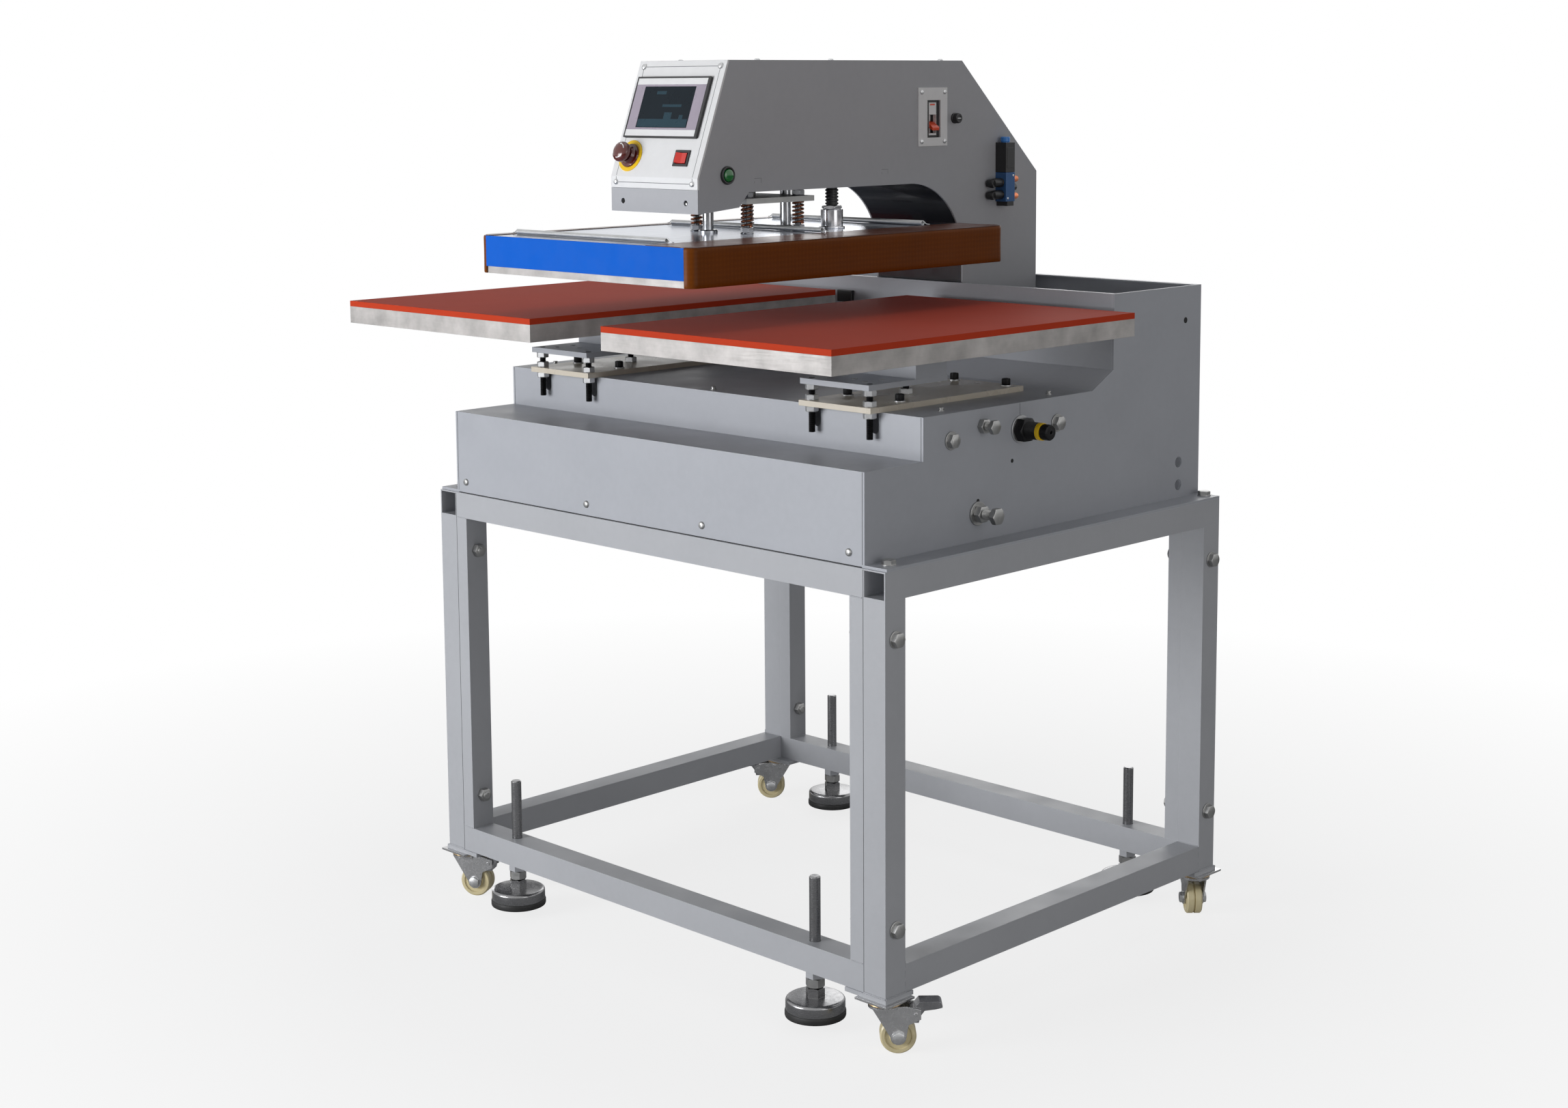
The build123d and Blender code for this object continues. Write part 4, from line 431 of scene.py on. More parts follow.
def glass_cloth(name, colour, gloss):
    finish = new_finish(name, colour, 0.42)
    web, shader = finish["web"], finish["shader"]
    shader.inputs["Specular IOR Level"].default_value = 0.1
    threads = []
    for direction in ("X", "Y", "Z"):
        wave = web.nodes.new("ShaderNodeTexWave")
        wave.bands_direction = direction
        wave.inputs["Scale"].default_value = 1 / (WEAVE_PITCH_MM * MM) / 20
        wave.inputs["Distortion"].default_value = 0.4
        web.links.new(finish["coords"], wave.inputs["Vector"])
        threads.append(wave.outputs["Fac"])
    total = threads[0]
    for extra in threads[1:]:
        total = combined(web, "ADD", total, extra)
    cells = ranged(finish, total, 0.6, 2.4)
    cloudy = tinted(finish, noise(finish, 11.0, 4.0), shade(colour, 0.82), shade(colour, 1.18))
    woven = tinted(finish, ranged(finish, total, 0.6, 2.4, 0.0, 0.35), cloudy, shade(colour, 1.5))
    web.links.new(woven, shader.inputs["Base Color"])
    web.links.new(ranged(finish, noise(finish, 20.0, 3.0), 0.3, 0.7, 0.34, 0.52), shader.inputs["Roughness"])
    shader.inputs["Coat Weight"].default_value = gloss
    shader.inputs["Coat Roughness"].default_value = 0.25
    relief(finish, cells, 0.12, 0.5)
    return keep(name, finish)


glass_cloth("coated_cloth", (0.150, 0.038, 0.002), 0.03)
glass_cloth("coated_flap", (0.070, 0.018, 0.006), 0.7)

# %% Moulded plastics and rubber
def moulded(name, colour, roughness, grain_mm=0.03, coat=0.0, mottle=0.05, edge_mm=0.4, shine=0.5):
    finish = new_finish(name, colour, roughness)
    finish["shader"].inputs["Specular IOR Level"].default_value = shine
    base = tinted(finish, noise(finish, 60.0, 3.0), shade(colour, 1 - mottle), shade(colour, 1 + mottle))
    finish["web"].links.new(base, finish["shader"].inputs["Base Color"])
    uneven = ranged(finish, noise(finish, 45.0, 3.0), 0.3, 0.7, roughness * 0.85, roughness * 1.2)
    finish["web"].links.new(uneven, finish["shader"].inputs["Roughness"])
    finish["shader"].inputs["Coat Weight"].default_value = coat
    relief(finish, noise(finish, 1200.0, 2.0), grain_mm, 0.4, edge_mm)
    return keep(name, finish)


moulded("black_plastic", (0.016, 0.016, 0.017), 0.38)
moulded("foot_rubber", (0.010, 0.010, 0.010), 0.62, 0.08)
moulded("cap_red", (0.105, 0.009, 0.005), 0.20, 0.02, 0.4)
moulded("rocker_red", (0.66, 0.018, 0.008), 0.22, 0.02, 0.3)
moulded("lever_orange", (0.88, 0.085, 0.020), 0.30, 0.02, 0.2)
moulded("button_green", (0.003, 0.200, 0.032), 0.16, 0.02, 0.5)
moulded("ring_yellow", (0.95, 0.60, 0.004), 0.40, 0.02)
moulded("knob_blue", (0.045, 0.26, 0.74), 0.32, 0.02)
moulded("valve_blue", (0.030, 0.115, 0.30), 0.40, 0.06)
moulded("guard_blue", (0.0, 0.118, 0.62), 0.55, 0.05, 0.0, 0.03, 0.6, 0.12)
moulded("nylon_cream", (0.70, 0.61, 0.37), 0.36, 0.04, 0.1, 0.06)
moulded("print_white", (0.86, 0.86, 0.86), 0.36, 0.01)
moulded("print_grey", (0.10, 0.10, 0.11), 0.45, 0.01)
moulded("screen_lilac", (0.38, 0.33, 0.40), 0.30, 0.01, 0.2)
moulded("screen_dark", (0.006, 0.012, 0.018), 0.30, 0.004, 0.0, shine=0.12)
moulded("screen_bar", (0.024, 0.055, 0.075), 0.30, 0.004, 0.0, shine=0.12)
moulded("liner_black", (0.012, 0.014, 0.020), 0.22, 0.03, 0.4)
moulded("dark_hole", (0.004, 0.004, 0.004), 0.8, 0.02)

# %% [markdown]
# ### Dressing the CAD's own pieces
# Most sheet metal, tubes and castings already have their right shape in the CAD model. They stay,
# and only get one of the finishes above.

# %% Finishes of the CAD pieces
DRESSED = {
    "stand_paint": ("side_frame_left", "side_frame_right", "front_frame", "rear_frame"),
    "cabinet_paint": ("cabinet_sides", "front_cover", "deck_panel", "rear_panel", "platen_supports"),
    "head_paint": ("head_sides", "head_cover", "head_front_plate", "head_carriage"),
    "panel_white": ("control_panel",),
    "liner_black": ("arch_liner",),
    "cream_plate": ("station_plates",),
    "zinc_dull": ("hanger_plate",),
    "milled_aluminium": ("lower_platens", "heating_plate", "press_cylinder"),
    "bright_sheet": ("heater_cover",),
    "drive_aluminium": ("traverse_cylinder", "support_beams"),
    "silicone": ("silicone_pads",),
    "guard_blue": ("front_guard",),
    "rocker_red": ("power_rocker",),
    "caster_zinc": ("caster_plates",) + tuple("caster_fork_" + k for k in ("fl", "fr", "rl", "rr")),
    "nylon_cream": tuple("caster_wheel_" + k for k in ("fl", "fr", "rl", "rr")),
    "pedal_steel": tuple("brake_pedal_" + k for k in ("fl", "fr", "rl", "rr")),
}
for finish_name, nodes in DRESSED.items():
    for node in nodes:
        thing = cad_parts[node]
        for socket in thing.material_slots:
            socket.material = FINISHES[finish_name]
print("dressed", sum(len(nodes) for nodes in DRESSED.values()), "CAD pieces")

# %% [markdown]
# ## Tools for small pieces
# Nuts, screws, springs and welds are all made from a few kinds of mesh: a profile spun round an
# axis, a hexagon with a turned chamfer, a thread, and a tube swept along a line. Each tool adds to
# a bmesh in millimetres and is placed by a matrix from `at`.

# %% Spun and threaded shapes
TAN_30 = math.tan(math.radians(30))


def spun(bm, profile_at, where, steps):
    """Spin a profile round local Z. The profile is a list of (radius, height) for each angle."""
    columns = []
    for k in range(steps):
        angle = 2 * math.pi * k / steps
        column = []
        for radius, height in profile_at(angle):
            point = Vector((radius * math.cos(angle), radius * math.sin(angle), height))
            column.append(bm.verts.new(where @ point))
        columns.append(column)
    for k in range(steps):
        here, there = columns[k], columns[(k + 1) % steps]
        for j in range(len(here) - 1):
            bm.faces.new((here[j], there[j], there[j + 1], here[j + 1]))
    bmesh.ops.remove_doubles(bm, verts=[v for column in columns for v in column], dist=2e-6)


def turned(bm, profile, where, steps=48):
    spun(bm, lambda angle: profile, where, steps)


def washer(bm, radius, height, where, bore=0.0, soft=(0.4, 0.5), steps=48):
    """Flat washer. Its rim is softened by so much across and so much in height."""
    across, rise = soft
    turned(bm, [(bore, 0), (radius - across, 0), (radius, rise), (radius, height - rise),
                (radius - across, height), (bore, height)], where, steps)


def hexagon_reach(half, angle):
    """Distance from the axis to the side of a hexagon that is two halves across its flats."""
    return half / math.cos((angle + math.pi / 6) % (math.pi / 3) - math.pi / 6)


def hexed(bm, across, low, high, where, bore=0.0, lower=True, upper=True):
    """Hexagon with the round chamfer that turning leaves on its corners."""
    half = across / 2

    def profile(angle):
        flat = hexagon_reach(half, angle)
        round_r = half * 0.97
        drop = (flat - round_r) * TAN_30
        foot = [(round_r, low), (flat, low + drop)] if lower else [(flat, low)]
        head = [(flat, high - drop), (round_r, high)] if upper else [(flat, high)]
        return [(bore, low)] + foot + head + [(bore, high)]

    spun(bm, profile, where, 60)


def threaded(bm, radius, low, high, pitch, where, steps=24):
    """Threaded rod: a zigzag profile that climbs by one pitch in each turn."""
    root = radius - 0.55 * pitch

    def profile(angle):
        lift = pitch * angle / (2 * math.pi)
        points = [(0.0, low), (root, low)]
        height = low - pitch + lift
        while height < high + pitch:
            for radial, rise in ((root, 0.0), (radius, 0.42), (radius, 0.55), (root, 0.97)):
                level = height + rise * pitch
                points.append((radial if low < level < high else root, min(max(level, low), high)))
            height += pitch
        return points + [(root, high), (0.0, high)]

    longest = len(profile(0.0))
    spun(bm, lambda angle: (profile(angle) + [(0.0, high)] * 8)[:longest], where, steps)


# %% Swept tubes, slabs and weld beads
def swept(bm, points, radius, sides=8, where=None):
    """Tube along points in millimetres. The radius is one number or one for each point."""
    where = where or at(0, 0, 0)
    points = [Vector(p) for p in points]
    radii = radius if isinstance(radius, (list, tuple)) else [radius] * len(points)
    rings = []
    normal = None
    for i, point in enumerate(points):
        ahead = points[min(i + 1, len(points) - 1)] - points[max(i - 1, 0)]
        ahead.normalize()
        if normal is None:
            normal = ahead.orthogonal()
        normal = (normal - ahead * normal.dot(ahead)).normalized()
        other = ahead.cross(normal)
        ring = []
        for k in range(sides):
            angle = 2 * math.pi * k / sides
            offset = (normal * math.cos(angle) + other * math.sin(angle)) * radii[i]
            ring.append(bm.verts.new(where @ (point + offset)))
        rings.append(ring)
    for here, there in zip(rings, rings[1:]):
        for k in range(sides):
            bm.faces.new((here[k], here[(k + 1) % sides], there[(k + 1) % sides], there[k]))
    bm.faces.new(rings[0])
    bm.faces.new(rings[-1])


def slab(bm, x, y, z, where=None):
    """Box between pairs of limits in millimetres."""
    where = where or at(0, 0, 0)
    corners = [bm.verts.new(where @ Vector((a, b, c))) for a in x for b in y for c in z]
    for ring in ((0, 1, 3, 2), (4, 6, 7, 5), (0, 4, 5, 1), (2, 3, 7, 6), (0, 2, 6, 4), (1, 5, 7, 3)):
        bm.faces.new([corners[i] for i in ring])


def framed(bm, outer_x, outer_y, inner_x, inner_y, z, where):
    """Rectangular frame of two full strips and two that fit between them."""
    for x, y in ((outer_x, (inner_y[1], outer_y[1])), (outer_x, (outer_y[0], inner_y[0])),
                 ((outer_x[0], inner_x[0]), inner_y), ((inner_x[1], outer_x[1]), inner_y)):
        slab(bm, x, y, z, where)


def knurled(bm, count, radius, x, y, z, where):
    """Ridges set evenly round a knob."""
    for k in range(count):
        spot = Matrix.Rotation(2 * math.pi * k / count, 4, "Z") @ Matrix.Translation((radius, 0, 0))
        slab(bm, x, y, z, where @ spot)


def prism(bm, outline, low, high, where):
    """A flat outline of (x, y) pairs drawn up from one height to another."""
    base = [bm.verts.new(where @ Vector((x, y, low))) for x, y in outline]
    top = [bm.verts.new(where @ Vector((x, y, high))) for x, y in outline]
    bm.faces.new(base)
    bm.faces.new(top)
    for k in range(len(outline)):
        j = (k + 1) % len(outline)
        bm.faces.new((base[k], base[j], top[j], top[k]))


def rounded(x, y, radius, steps=6):
    """Outline of a rectangle with round corners."""
    points = []
    for cx, cy, start in ((x[1] - radius, y[1] - radius, 0), (x[0] + radius, y[1] - radius, 90),
                          (x[0] + radius, y[0] + radius, 180), (x[1] - radius, y[0] + radius, 270)):
        for k in range(steps + 1):
            angle = math.radians(start + 90 * k / steps)
            points.append((cx + radius * math.cos(angle), cy + radius * math.sin(angle)))
    return points


def weld(bm, start, end, size, seed=1):
    """Bead of overlapping drops along a joint, each a little different."""
    draw = random.Random(seed)
    start, end = Vector(start), Vector(end)
    drops = max(2, round((end - start).length / (size * 1.15)))
    points, radii = [], []
    for i in range(drops):
        share = draw.uniform(0.85, 1.1)
        for part, scale in ((0.08, 0.62), (0.35, 1.0), (0.65, 1.0), (0.92, 0.62)):
            points.append(start.lerp(end, (i + part) / drops))
            radii.append(size * 0.55 * scale * share)
    swept(bm, points, radii, 8)


def piece(name, bm, finish, body, stands_for=(), bevel=0.0, sharp=35):
    """Turn a bmesh into a finished piece that rides on a body of the machine."""
    bmesh.ops.recalc_face_normals(bm, faces=bm.faces)
    mesh = bpy.data.meshes.new(name)
    bm.to_mesh(mesh)
    bm.free()
    mesh.shade_smooth()
    mesh.set_sharp_from_angle(angle=math.radians(sharp))
    thing = bpy.data.objects.new(name, mesh)
    bpy.context.scene.collection.objects.link(thing)
    mesh.materials.append(FINISHES[finish])
    if bevel:
        edge = thing.modifiers.new("edge", "BEVEL")
        edge.width = bevel * MM
        edge.segments = 3
        edge.limit_method = "ANGLE"
        edge.angle_limit = math.radians(40)
        edge.harden_normals = True
    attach(thing, body)
    if stands_for:
        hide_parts(*stands_for)
    print("piece", name, len(mesh.polygons), "faces")
    return thing


# %% [markdown]
# ## Stand
# The square tubes are welded, so a bead runs round each leg where it meets its plate, and short
# beads close the joints of rails and posts. Every side frame is bolted to the cross frames with
# zinc hexagon bolts, and a big screw foot stands beside each caster.

# %% Sizes of the stand
STAND_HALF_W = 481.5
STAND_HALF_D = 384.5
TUBE = 40.0
POST_W = 25.0
LEG_BOTTOM = 83.0
RAIL_TOP = 672.0
LEG_Y = STAND_HALF_D - TUBE / 2
INNER_X = STAND_HALF_W - TUBE
FOOT_X = 330.0
FRAME_BOLT_RISES = (93.5, 495.5)
CORNERS = {"fl": (-1, -1), "fr": (1, -1), "rl": (-1, 1), "rr": (1, 1)}
print("stand", 2 * STAND_HALF_W, "by", 2 * STAND_HALF_D, "mm, rails at", RAIL_TOP, "mm")

# %% Weld beads of the stand
BEAD = 3.2
bm = bmesh.new()
seed = 10
for side, end in CORNERS.values():
    leg_x = (side * STAND_HALF_W, side * INNER_X)
    leg_y = (end * STAND_HALF_D, end * (STAND_HALF_D - TUBE))
    seed += 1
    weld(bm, (leg_x[0], leg_y[0], LEG_BOTTOM), (leg_x[1], leg_y[0], LEG_BOTTOM), BEAD, seed)
    weld(bm, (leg_x[0], leg_y[0], LEG_BOTTOM), (leg_x[0], leg_y[1], LEG_BOTTOM), BEAD, seed + 1)
    weld(bm, (leg_x[1], leg_y[0], LEG_BOTTOM), (leg_x[1], leg_y[1], LEG_BOTTOM), BEAD, seed + 2)
    post = side * (INNER_X - POST_W)
    low, high = LEG_BOTTOM + TUBE, RAIL_TOP - TUBE
    for level in (low, high):
        weld(bm, (side * (INNER_X - 2), leg_y[0], level), (post + side * 2, leg_y[0], level), 1.8, seed + 3)
        weld(bm, (post, leg_y[0] - end * 3, level), (post, leg_y[1] + end * 3, level), 2.4, seed + 4)
    for level, reach in ((low, 5.0), (LEG_BOTTOM + 6, 5.0)):
        y = leg_y[1]
        weld(bm, (leg_x[0] - side * 2, y, level), (leg_x[1] + side * 2, y, level), 2.4, seed + 5)
    for level in (low, low - 14, low - 30):
        weld(bm, (leg_x[0], leg_y[1], level + reach), (leg_x[0], leg_y[1], level - reach), 1.6, seed + 6)
piece("weld_beads", bm, "stand_paint", "stand", sharp=80)

# %% Frame bolts, foot nuts and caster screws
bm = bmesh.new()
for side, end in CORNERS.values():
    out = ALONG_X if side > 0 else Matrix.Rotation(math.radians(-90), 4, "Y")
    for rise in FRAME_BOLT_RISES:
        where = at(side * STAND_HALF_W, end * LEG_Y, LEG_BOTTOM + rise, out)
        washer(bm, 12, 2, where)
        hexed(bm, 19, 2, 9.5, where, lower=False)
        inside = at(side * (INNER_X - POST_W), end * LEG_Y, LEG_BOTTOM + rise, out)
        hexed(bm, 19, -10, 0, inside)
        threaded(bm, 6, -12.5, -9, 1.75, inside)
    lock = LEG_BOTTOM - 13.0
    hexed(bm, 24, lock - 13.4, lock - 0.4, at(side * FOOT_X, end * LEG_Y, 0), bore=7.4)
piece("frame_bolts", bm, "zinc_dull", "stand", ("stand_fasteners",))

bm = bmesh.new()
CASTER_SCREW_X = 414.0
for side, end in CORNERS.values():
    where = at(side * CASTER_SCREW_X, end * (LEG_Y + 8), LEG_BOTTOM - 6)
    turned(bm, [(0, 0), (5, 0), (5, -0.9), (4.1, -2.0), (2.8, -2.4), (0, -2.4)], where, 32)
piece("caster_screws", bm, "black_oxide", "stand")

# %% [markdown]
# ### Levelling feet
# A foot is a polished pressed cup on a thick black rubber ring, with a hexagon neck to turn it and
# a long bright stem. The cup mirrors the floor, so its rim needs a true curve.

# %% Levelling feet
FOOT_LIFT = 14.0
FOOT_R = 43.5
for key, (side, end) in CORNERS.items():
    where = at(side * FOOT_X, end * LEG_Y, FOOT_LIFT)
    body = "foot_" + key
    bm = bmesh.new()
    rubber = [(0, 0), (FOOT_R - 2.2, 0), (FOOT_R - 0.5, 0.7), (FOOT_R, 2.2), (FOOT_R, 7.6),
              (FOOT_R - 0.5, 9.2), (FOOT_R - 1.2, 10.0), (0, 10.0)]
    turned(bm, rubber, where, 72)
    piece("foot_rubber_" + key, bm, "foot_rubber", body)
    bm = bmesh.new()
    cup = [(0, 10.0), (FOOT_R - 1.4, 10.0), (FOOT_R - 1.1, 11.0), (FOOT_R - 1.2, 22.6)]
    for k in range(9):
        angle = math.radians(90 * k / 8)
        cup.append((FOOT_R - 6.2 + 5.0 * math.cos(angle), 22.6 + 4.4 * math.sin(angle)))
    cup += [(20.0, 28.0), (14.5, 28.1), (0, 28.1)]
    turned(bm, cup, where, 72)
    hexed(bm, 24, 28.0, 41.6, where, lower=False)
    turned(bm, [(0, 41.6), (9.6, 41.6), (8.4, 42.0), (0, 42.0)], where)
    piece("foot_cup_" + key, bm, "foot_steel", body, (body,))
    bm = bmesh.new()
    turned(bm, [(0, 41.8), (8.0, 41.8), (8.0, 201.4), (6.6, 203.0), (0, 203.0)], where)
    piece("foot_stem_" + key, bm, "foot_steel", body)

# %% [markdown]
# ### Caster details
# The swivel races run in a bronze-coloured ring, and each axle ends in a zinc nut on a washer.
# The casters are turned to different sides, as they are when a machine has just been wheeled in.

# %% Caster races and axle nuts
CASTER_TURN = {"fl": 30.0, "fr": 45.0, "rl": 225.0, "rr": 135.0}
LEG_X = STAND_HALF_W - TUBE / 2
bm = bmesh.new()
for side, end in CORNERS.values():
    where = at(side * LEG_X, end * LEG_Y, 0)
    turned(bm, [(22.0, 68.4), (23.8, 69.0), (24.4, 70.2), (23.8, 71.4), (22.0, 72.0)], where, 64)
piece("caster_races", bm, "race_bronze", "stand")

AXLE_OUT = 15.5
AXLE_HEIGHT = 25.0
AXLE_TRAIL = 18.0
for key, (side, end) in CORNERS.items():
    turn = Matrix.Rotation(math.radians(CASTER_TURN[key]), 4, "Z")
    bm = bmesh.new()
    for hand in (-1, 1):
        lay = Matrix.Rotation(math.radians(-90 * hand), 4, "X")
        pin = at(side * LEG_X, end * LEG_Y, AXLE_HEIGHT, turn)
        where = pin @ Matrix.Translation((AXLE_TRAIL, 0, 0)) @ lay
        turned(bm, [(0, AXLE_OUT), (9.4, AXLE_OUT), (9.4, AXLE_OUT + 1.2), (0, AXLE_OUT + 1.2)], where)
        hexed(bm, 15.2, AXLE_OUT + 1.2, AXLE_OUT + 5.4, where, lower=False)
    piece("axle_nuts_" + key, bm, "zinc", "fork_" + key)

# %% [markdown]
# ## Cabinet
# The cabinet is bent from sheet. Its screws are zinc, and the hydraulic absorber in each side plate
# is black with a yellow ring. A travel stop bolt stands beside it, and the thick end bolt of the
# traverse cylinder stands out below.

# %% Sizes of the cabinet and the stations
CAB_OUT = 441.5
FRONT_Y = -381.3
RISER_Y = -263.3
DECK_TOP = 862.5
BEAM_MID = 824.5
BEAM_ROWS = (-206.0, 28.0)
STATIONS = (-297.0, 297.0)
ABSORBER_Y = -56.0
STOP_BOLT = (-139.0, DECK_TOP - 24.5)
CYLINDER_BOLT = (-149.0, 715.2)
TO_LEFT = Matrix.Rotation(math.radians(-90), 4, "Y")
TO_FRONT = Matrix.Rotation(math.radians(90), 4, "X")
print("cabinet", 2 * CAB_OUT, "mm wide, deck at", DECK_TOP, "mm")


def sideways(side, y, z):
    """Place on a side plate of the cabinet, with local Z pointing outwards."""
    return at(side * CAB_OUT, y, z, ALONG_X if side > 0 else TO_LEFT)


def pan_head(bm, radius, height, where, drive=0.45):
    """Round domed screw head spun from one profile, with a small flat on its top."""
    profile = [(0, 0), (radius, 0), (radius, height * 0.3), (radius * 0.94, height * 0.55),
               (radius * 0.8, height * 0.8), (radius * 0.5, height * 0.96), (drive, height), (0, height)]
    turned(bm, profile, where, 32)


# %% Cabinet screws and bolts
bm = bmesh.new()
for x in (-418.0, -126.0, 126.0, 413.0):
    pan_head(bm, 5.5, 3.2, at(x, FRONT_Y, RAIL_TOP + 18, TO_FRONT))
for x, y in ((-415.5, -196.0), (415.5, -196.0), (-415.5, 42.0), (415.5, 42.0), (14.0, RISER_Y + 14)):
    where = at(x, y, DECK_TOP)
    turned(bm, [(0, 0), (4.5, 0), (4.5, 1.2), (3.0, 1.4), (3.0, 3.8), (3.9, 4.1), (3.6, 5.0), (0, 5.0)],
           where, 32)
for side in (-1, 1):
    for y in (-355.0, 372.0):
        where = at(side * (CAB_OUT + 20), y, RAIL_TOP + 4)
        turned(bm, [(0, 0), (10.5, 0), (10.5, 1.2), (0, 1.2)], where)
        hexed(bm, 17, 1.2, 7, where, lower=False)
    for y in BEAM_ROWS:
        where = sideways(side, y, BEAM_MID)
        turned(bm, [(0, 0), (12.8, 0), (13, 0.4), (13, 2.0), (12.5, 2.5), (0, 2.5)], where)
        hexed(bm, 19, 2.5, 9.6, where, lower=False)
        turned(bm, [(0, 9.6), (7, 9.6), (6.4, 10.0), (0, 10.0)], where)
    where = sideways(side, *STOP_BOLT)
    hexed(bm, 19, 0, 9, where, bore=5.0)
    threaded(bm, 6, 9, 19, 1.75, where)
    hexed(bm, 19, 19, 26, where)
    where = sideways(side, *CYLINDER_BOLT)
    washer(bm, 17, 3, where)
    hexed(bm, 22, 3, 14, where)
    threaded(bm, 7, 14, 31, 2.0, where)
    hexed(bm, 22, 31, 40, where)
piece("cabinet_screws", bm, "zinc_dull", "stand", ("cabinet_fasteners",))

# %% [markdown]
# ### Shock absorbers
# Each absorber is screwed through the side plate with a big bright washer and a black lock nut.
# A yellow ring stands before the knob at its end. Inside the cabinet the plunger ends short of the
# place that the carriage reaches.

# %% Shock absorbers
for side, word in ((-1, "left"), (1, "right")):
    where = sideways(side, ABSORBER_Y, BEAM_MID)
    bm = bmesh.new()
    washer(bm, 20, 3, where, steps=64)
    piece("absorber_washer_" + word, bm, "zinc", "stand")
    bm = bmesh.new()
    turned(bm, [(0, -27.5), (12.5, -27.5), (12.5, 3.0)], where)
    hexed(bm, 32, 3, 17.4, where)
    threaded(bm, 12.5, 17.4, 36.5, 1.5, where, 36)
    turned(bm, [(0, 36.5), (10.6, 36.5), (10.6, 43.0), (0, 43.0)], where)
    knob = [(0, 43.0), (10.4, 43.0), (11.0, 43.6), (11.0, 55.0), (9.8, 56.6), (3.0, 57.0), (2.4, 56.4),
            (2.0, 53.0), (0, 53.0)]
    turned(bm, knob, where)
    turned(bm, [(0, -39.1), (3.2, -39.1), (4, -38.7), (4, -27.0), (0, -27.0)], where)
    knurled(bm, 16, 10.7, (0, 0.7), (-0.6, 0.6), (44.4, 54.6), where)
    piece("absorber_body_" + word, bm, "black_oxide", "stand", ("shock_absorbers",))
    bm = bmesh.new()
    turned(bm, [(10.5, 35.6), (12.55, 35.8), (12.55, 42.4), (10.5, 42.6)], where)
    piece("absorber_ring_" + word, bm, "ring_yellow", "stand")

# %% [markdown]
# ### Small marks on the cabinet
# The sheets are folded and screwed together, so fine seams show where they meet, and the side
# plates have a few small open holes, drawn as dark discs that are painted shade of their dark
# inside. A dark line a tenth of a millimetre proud reads as a seam. The front and rear frames are
# bolted between the side frames, so each leg shows such a seam as well.

# %% Seams and small holes
bm = bmesh.new()
HAIR = 0.35
for side in (-1, 1):
    # The dark discs are painted shade: they stand for the dark inside of open holes.
    for y, z, radius in ((-72.8, 780.7, 3.0), (-147.6, 732.5, 3.2), (344.3, 949.7, 4.6)):
        where = sideways(side, y, z)
        turned(bm, [(0, 0.1), (radius, 0.1), (radius, 0.15), (0, 0.15)], where, 32)
    over = (ABSORBER_Y - 0.2, ABSORBER_Y + 0.2)
    slab(bm, sorted((side * CAB_OUT, side * (CAB_OUT + 0.15))), over, (845.0, DECK_TOP - 1))
    x = side * (CAB_OUT - 4.0)
    slab(bm, (x - HAIR, x + HAIR), (FRONT_Y - 0.12, FRONT_Y), (RAIL_TOP + 4, 801.0))
    slab(bm, (x - HAIR, x + HAIR), (RISER_Y - 0.12, RISER_Y), (802.0, DECK_TOP - 0.5))
slab(bm, (-437.0, 437.0), (FRONT_Y - 0.1, FRONT_Y + 2.0), (RAIL_TOP + 0.1, RAIL_TOP + 1.3))
piece("cabinet_seams", bm, "dark_hole", "stand")

bm = bmesh.new()
for side, end in CORNERS.values():
    x, y = side * INNER_X, end * STAND_HALF_D
    slab(bm, (x - HAIR, x + HAIR), sorted((y, y + end * 0.12)), (LEG_BOTTOM + 1, RAIL_TOP - 1))
piece("stand_seams", bm, "dark_hole", "stand")

# %% [markdown]
# ## Press stations
# Each platen stands on black levelling studs with zinc nuts above and below its plates. Cap screws
# with knurled heads and hexagon sockets hold the base plate to the beams under the deck.

# %% Studs and nuts
BASE_TOP = 870.5
TABLE_BOTTOM = 894.0
TABLE_TOP = 902.0
FLANGE_TOP = 948.8
studs = bmesh.new()
nuts = bmesh.new()
caps = bmesh.new()


def socket_head(angle):
    """Cap screw head over its washer, with a six-sided hole 6 mm across and 5 mm deep."""
    flat = hexagon_reach(3.0, angle)
    return [(0, 1.6), (6.1, 1.6), (6.3, 2.0), (6.3, 10.2), (5.6, 11.0), (flat, 11.0), (flat, 6.0), (0, 6.0)]


for station in STATIONS:
    places = ((station - 55.5, -274.0), (station + 55.5, -274.0), (station, -137.0))
    for i, (x, y) in enumerate(places):
        where = at(x, y, 0)
        low = DECK_TOP if i == 2 else DECK_TOP - 38
        threaded(studs, 5, low, TABLE_TOP + 0.5, 1.5, where)
        levels = [TABLE_BOTTOM - 8.4, BASE_TOP] + ([DECK_TOP - 8.4] if i < 2 else [])
        for z in levels:
            hexed(nuts, 17, z, z + 8.2, where, bore=4.3)
            rim = [(4.6, z - 0.1), (8.9, z - 0.1), (9.2, z + 0.3), (8.9, z + 0.8), (4.6, z + 0.8)]
            turned(nuts, rim, where)
    for side in (-1, 1):
        for y in BEAM_ROWS:
            where = at(station + side * 50, y, BASE_TOP)
            washer(nuts, 8.5, 1.6, where, bore=4.2, soft=(0.3, 0.3))
            spun(caps, socket_head, where, 60)
            knurled(caps, 24, 6.2, (0, 0.3), (-0.35, 0.35), (2.4, 9.6), where)
        where = at(station + side * 50, -258.0, FLANGE_TOP - 6.0)
        hexed(nuts, 13, -6, 0, where, upper=False)
        turned(nuts, [(0, -6), (4.6, -6), (4.2, -6.3), (0, -6.3)], where)
piece("station_studs", studs, "black_oxide", "stand", ("station_screws",))
piece("station_nuts_fine", nuts, "zinc", "stand", ("station_nuts",))
piece("station_cap_screws", caps, "black_oxide", "stand")

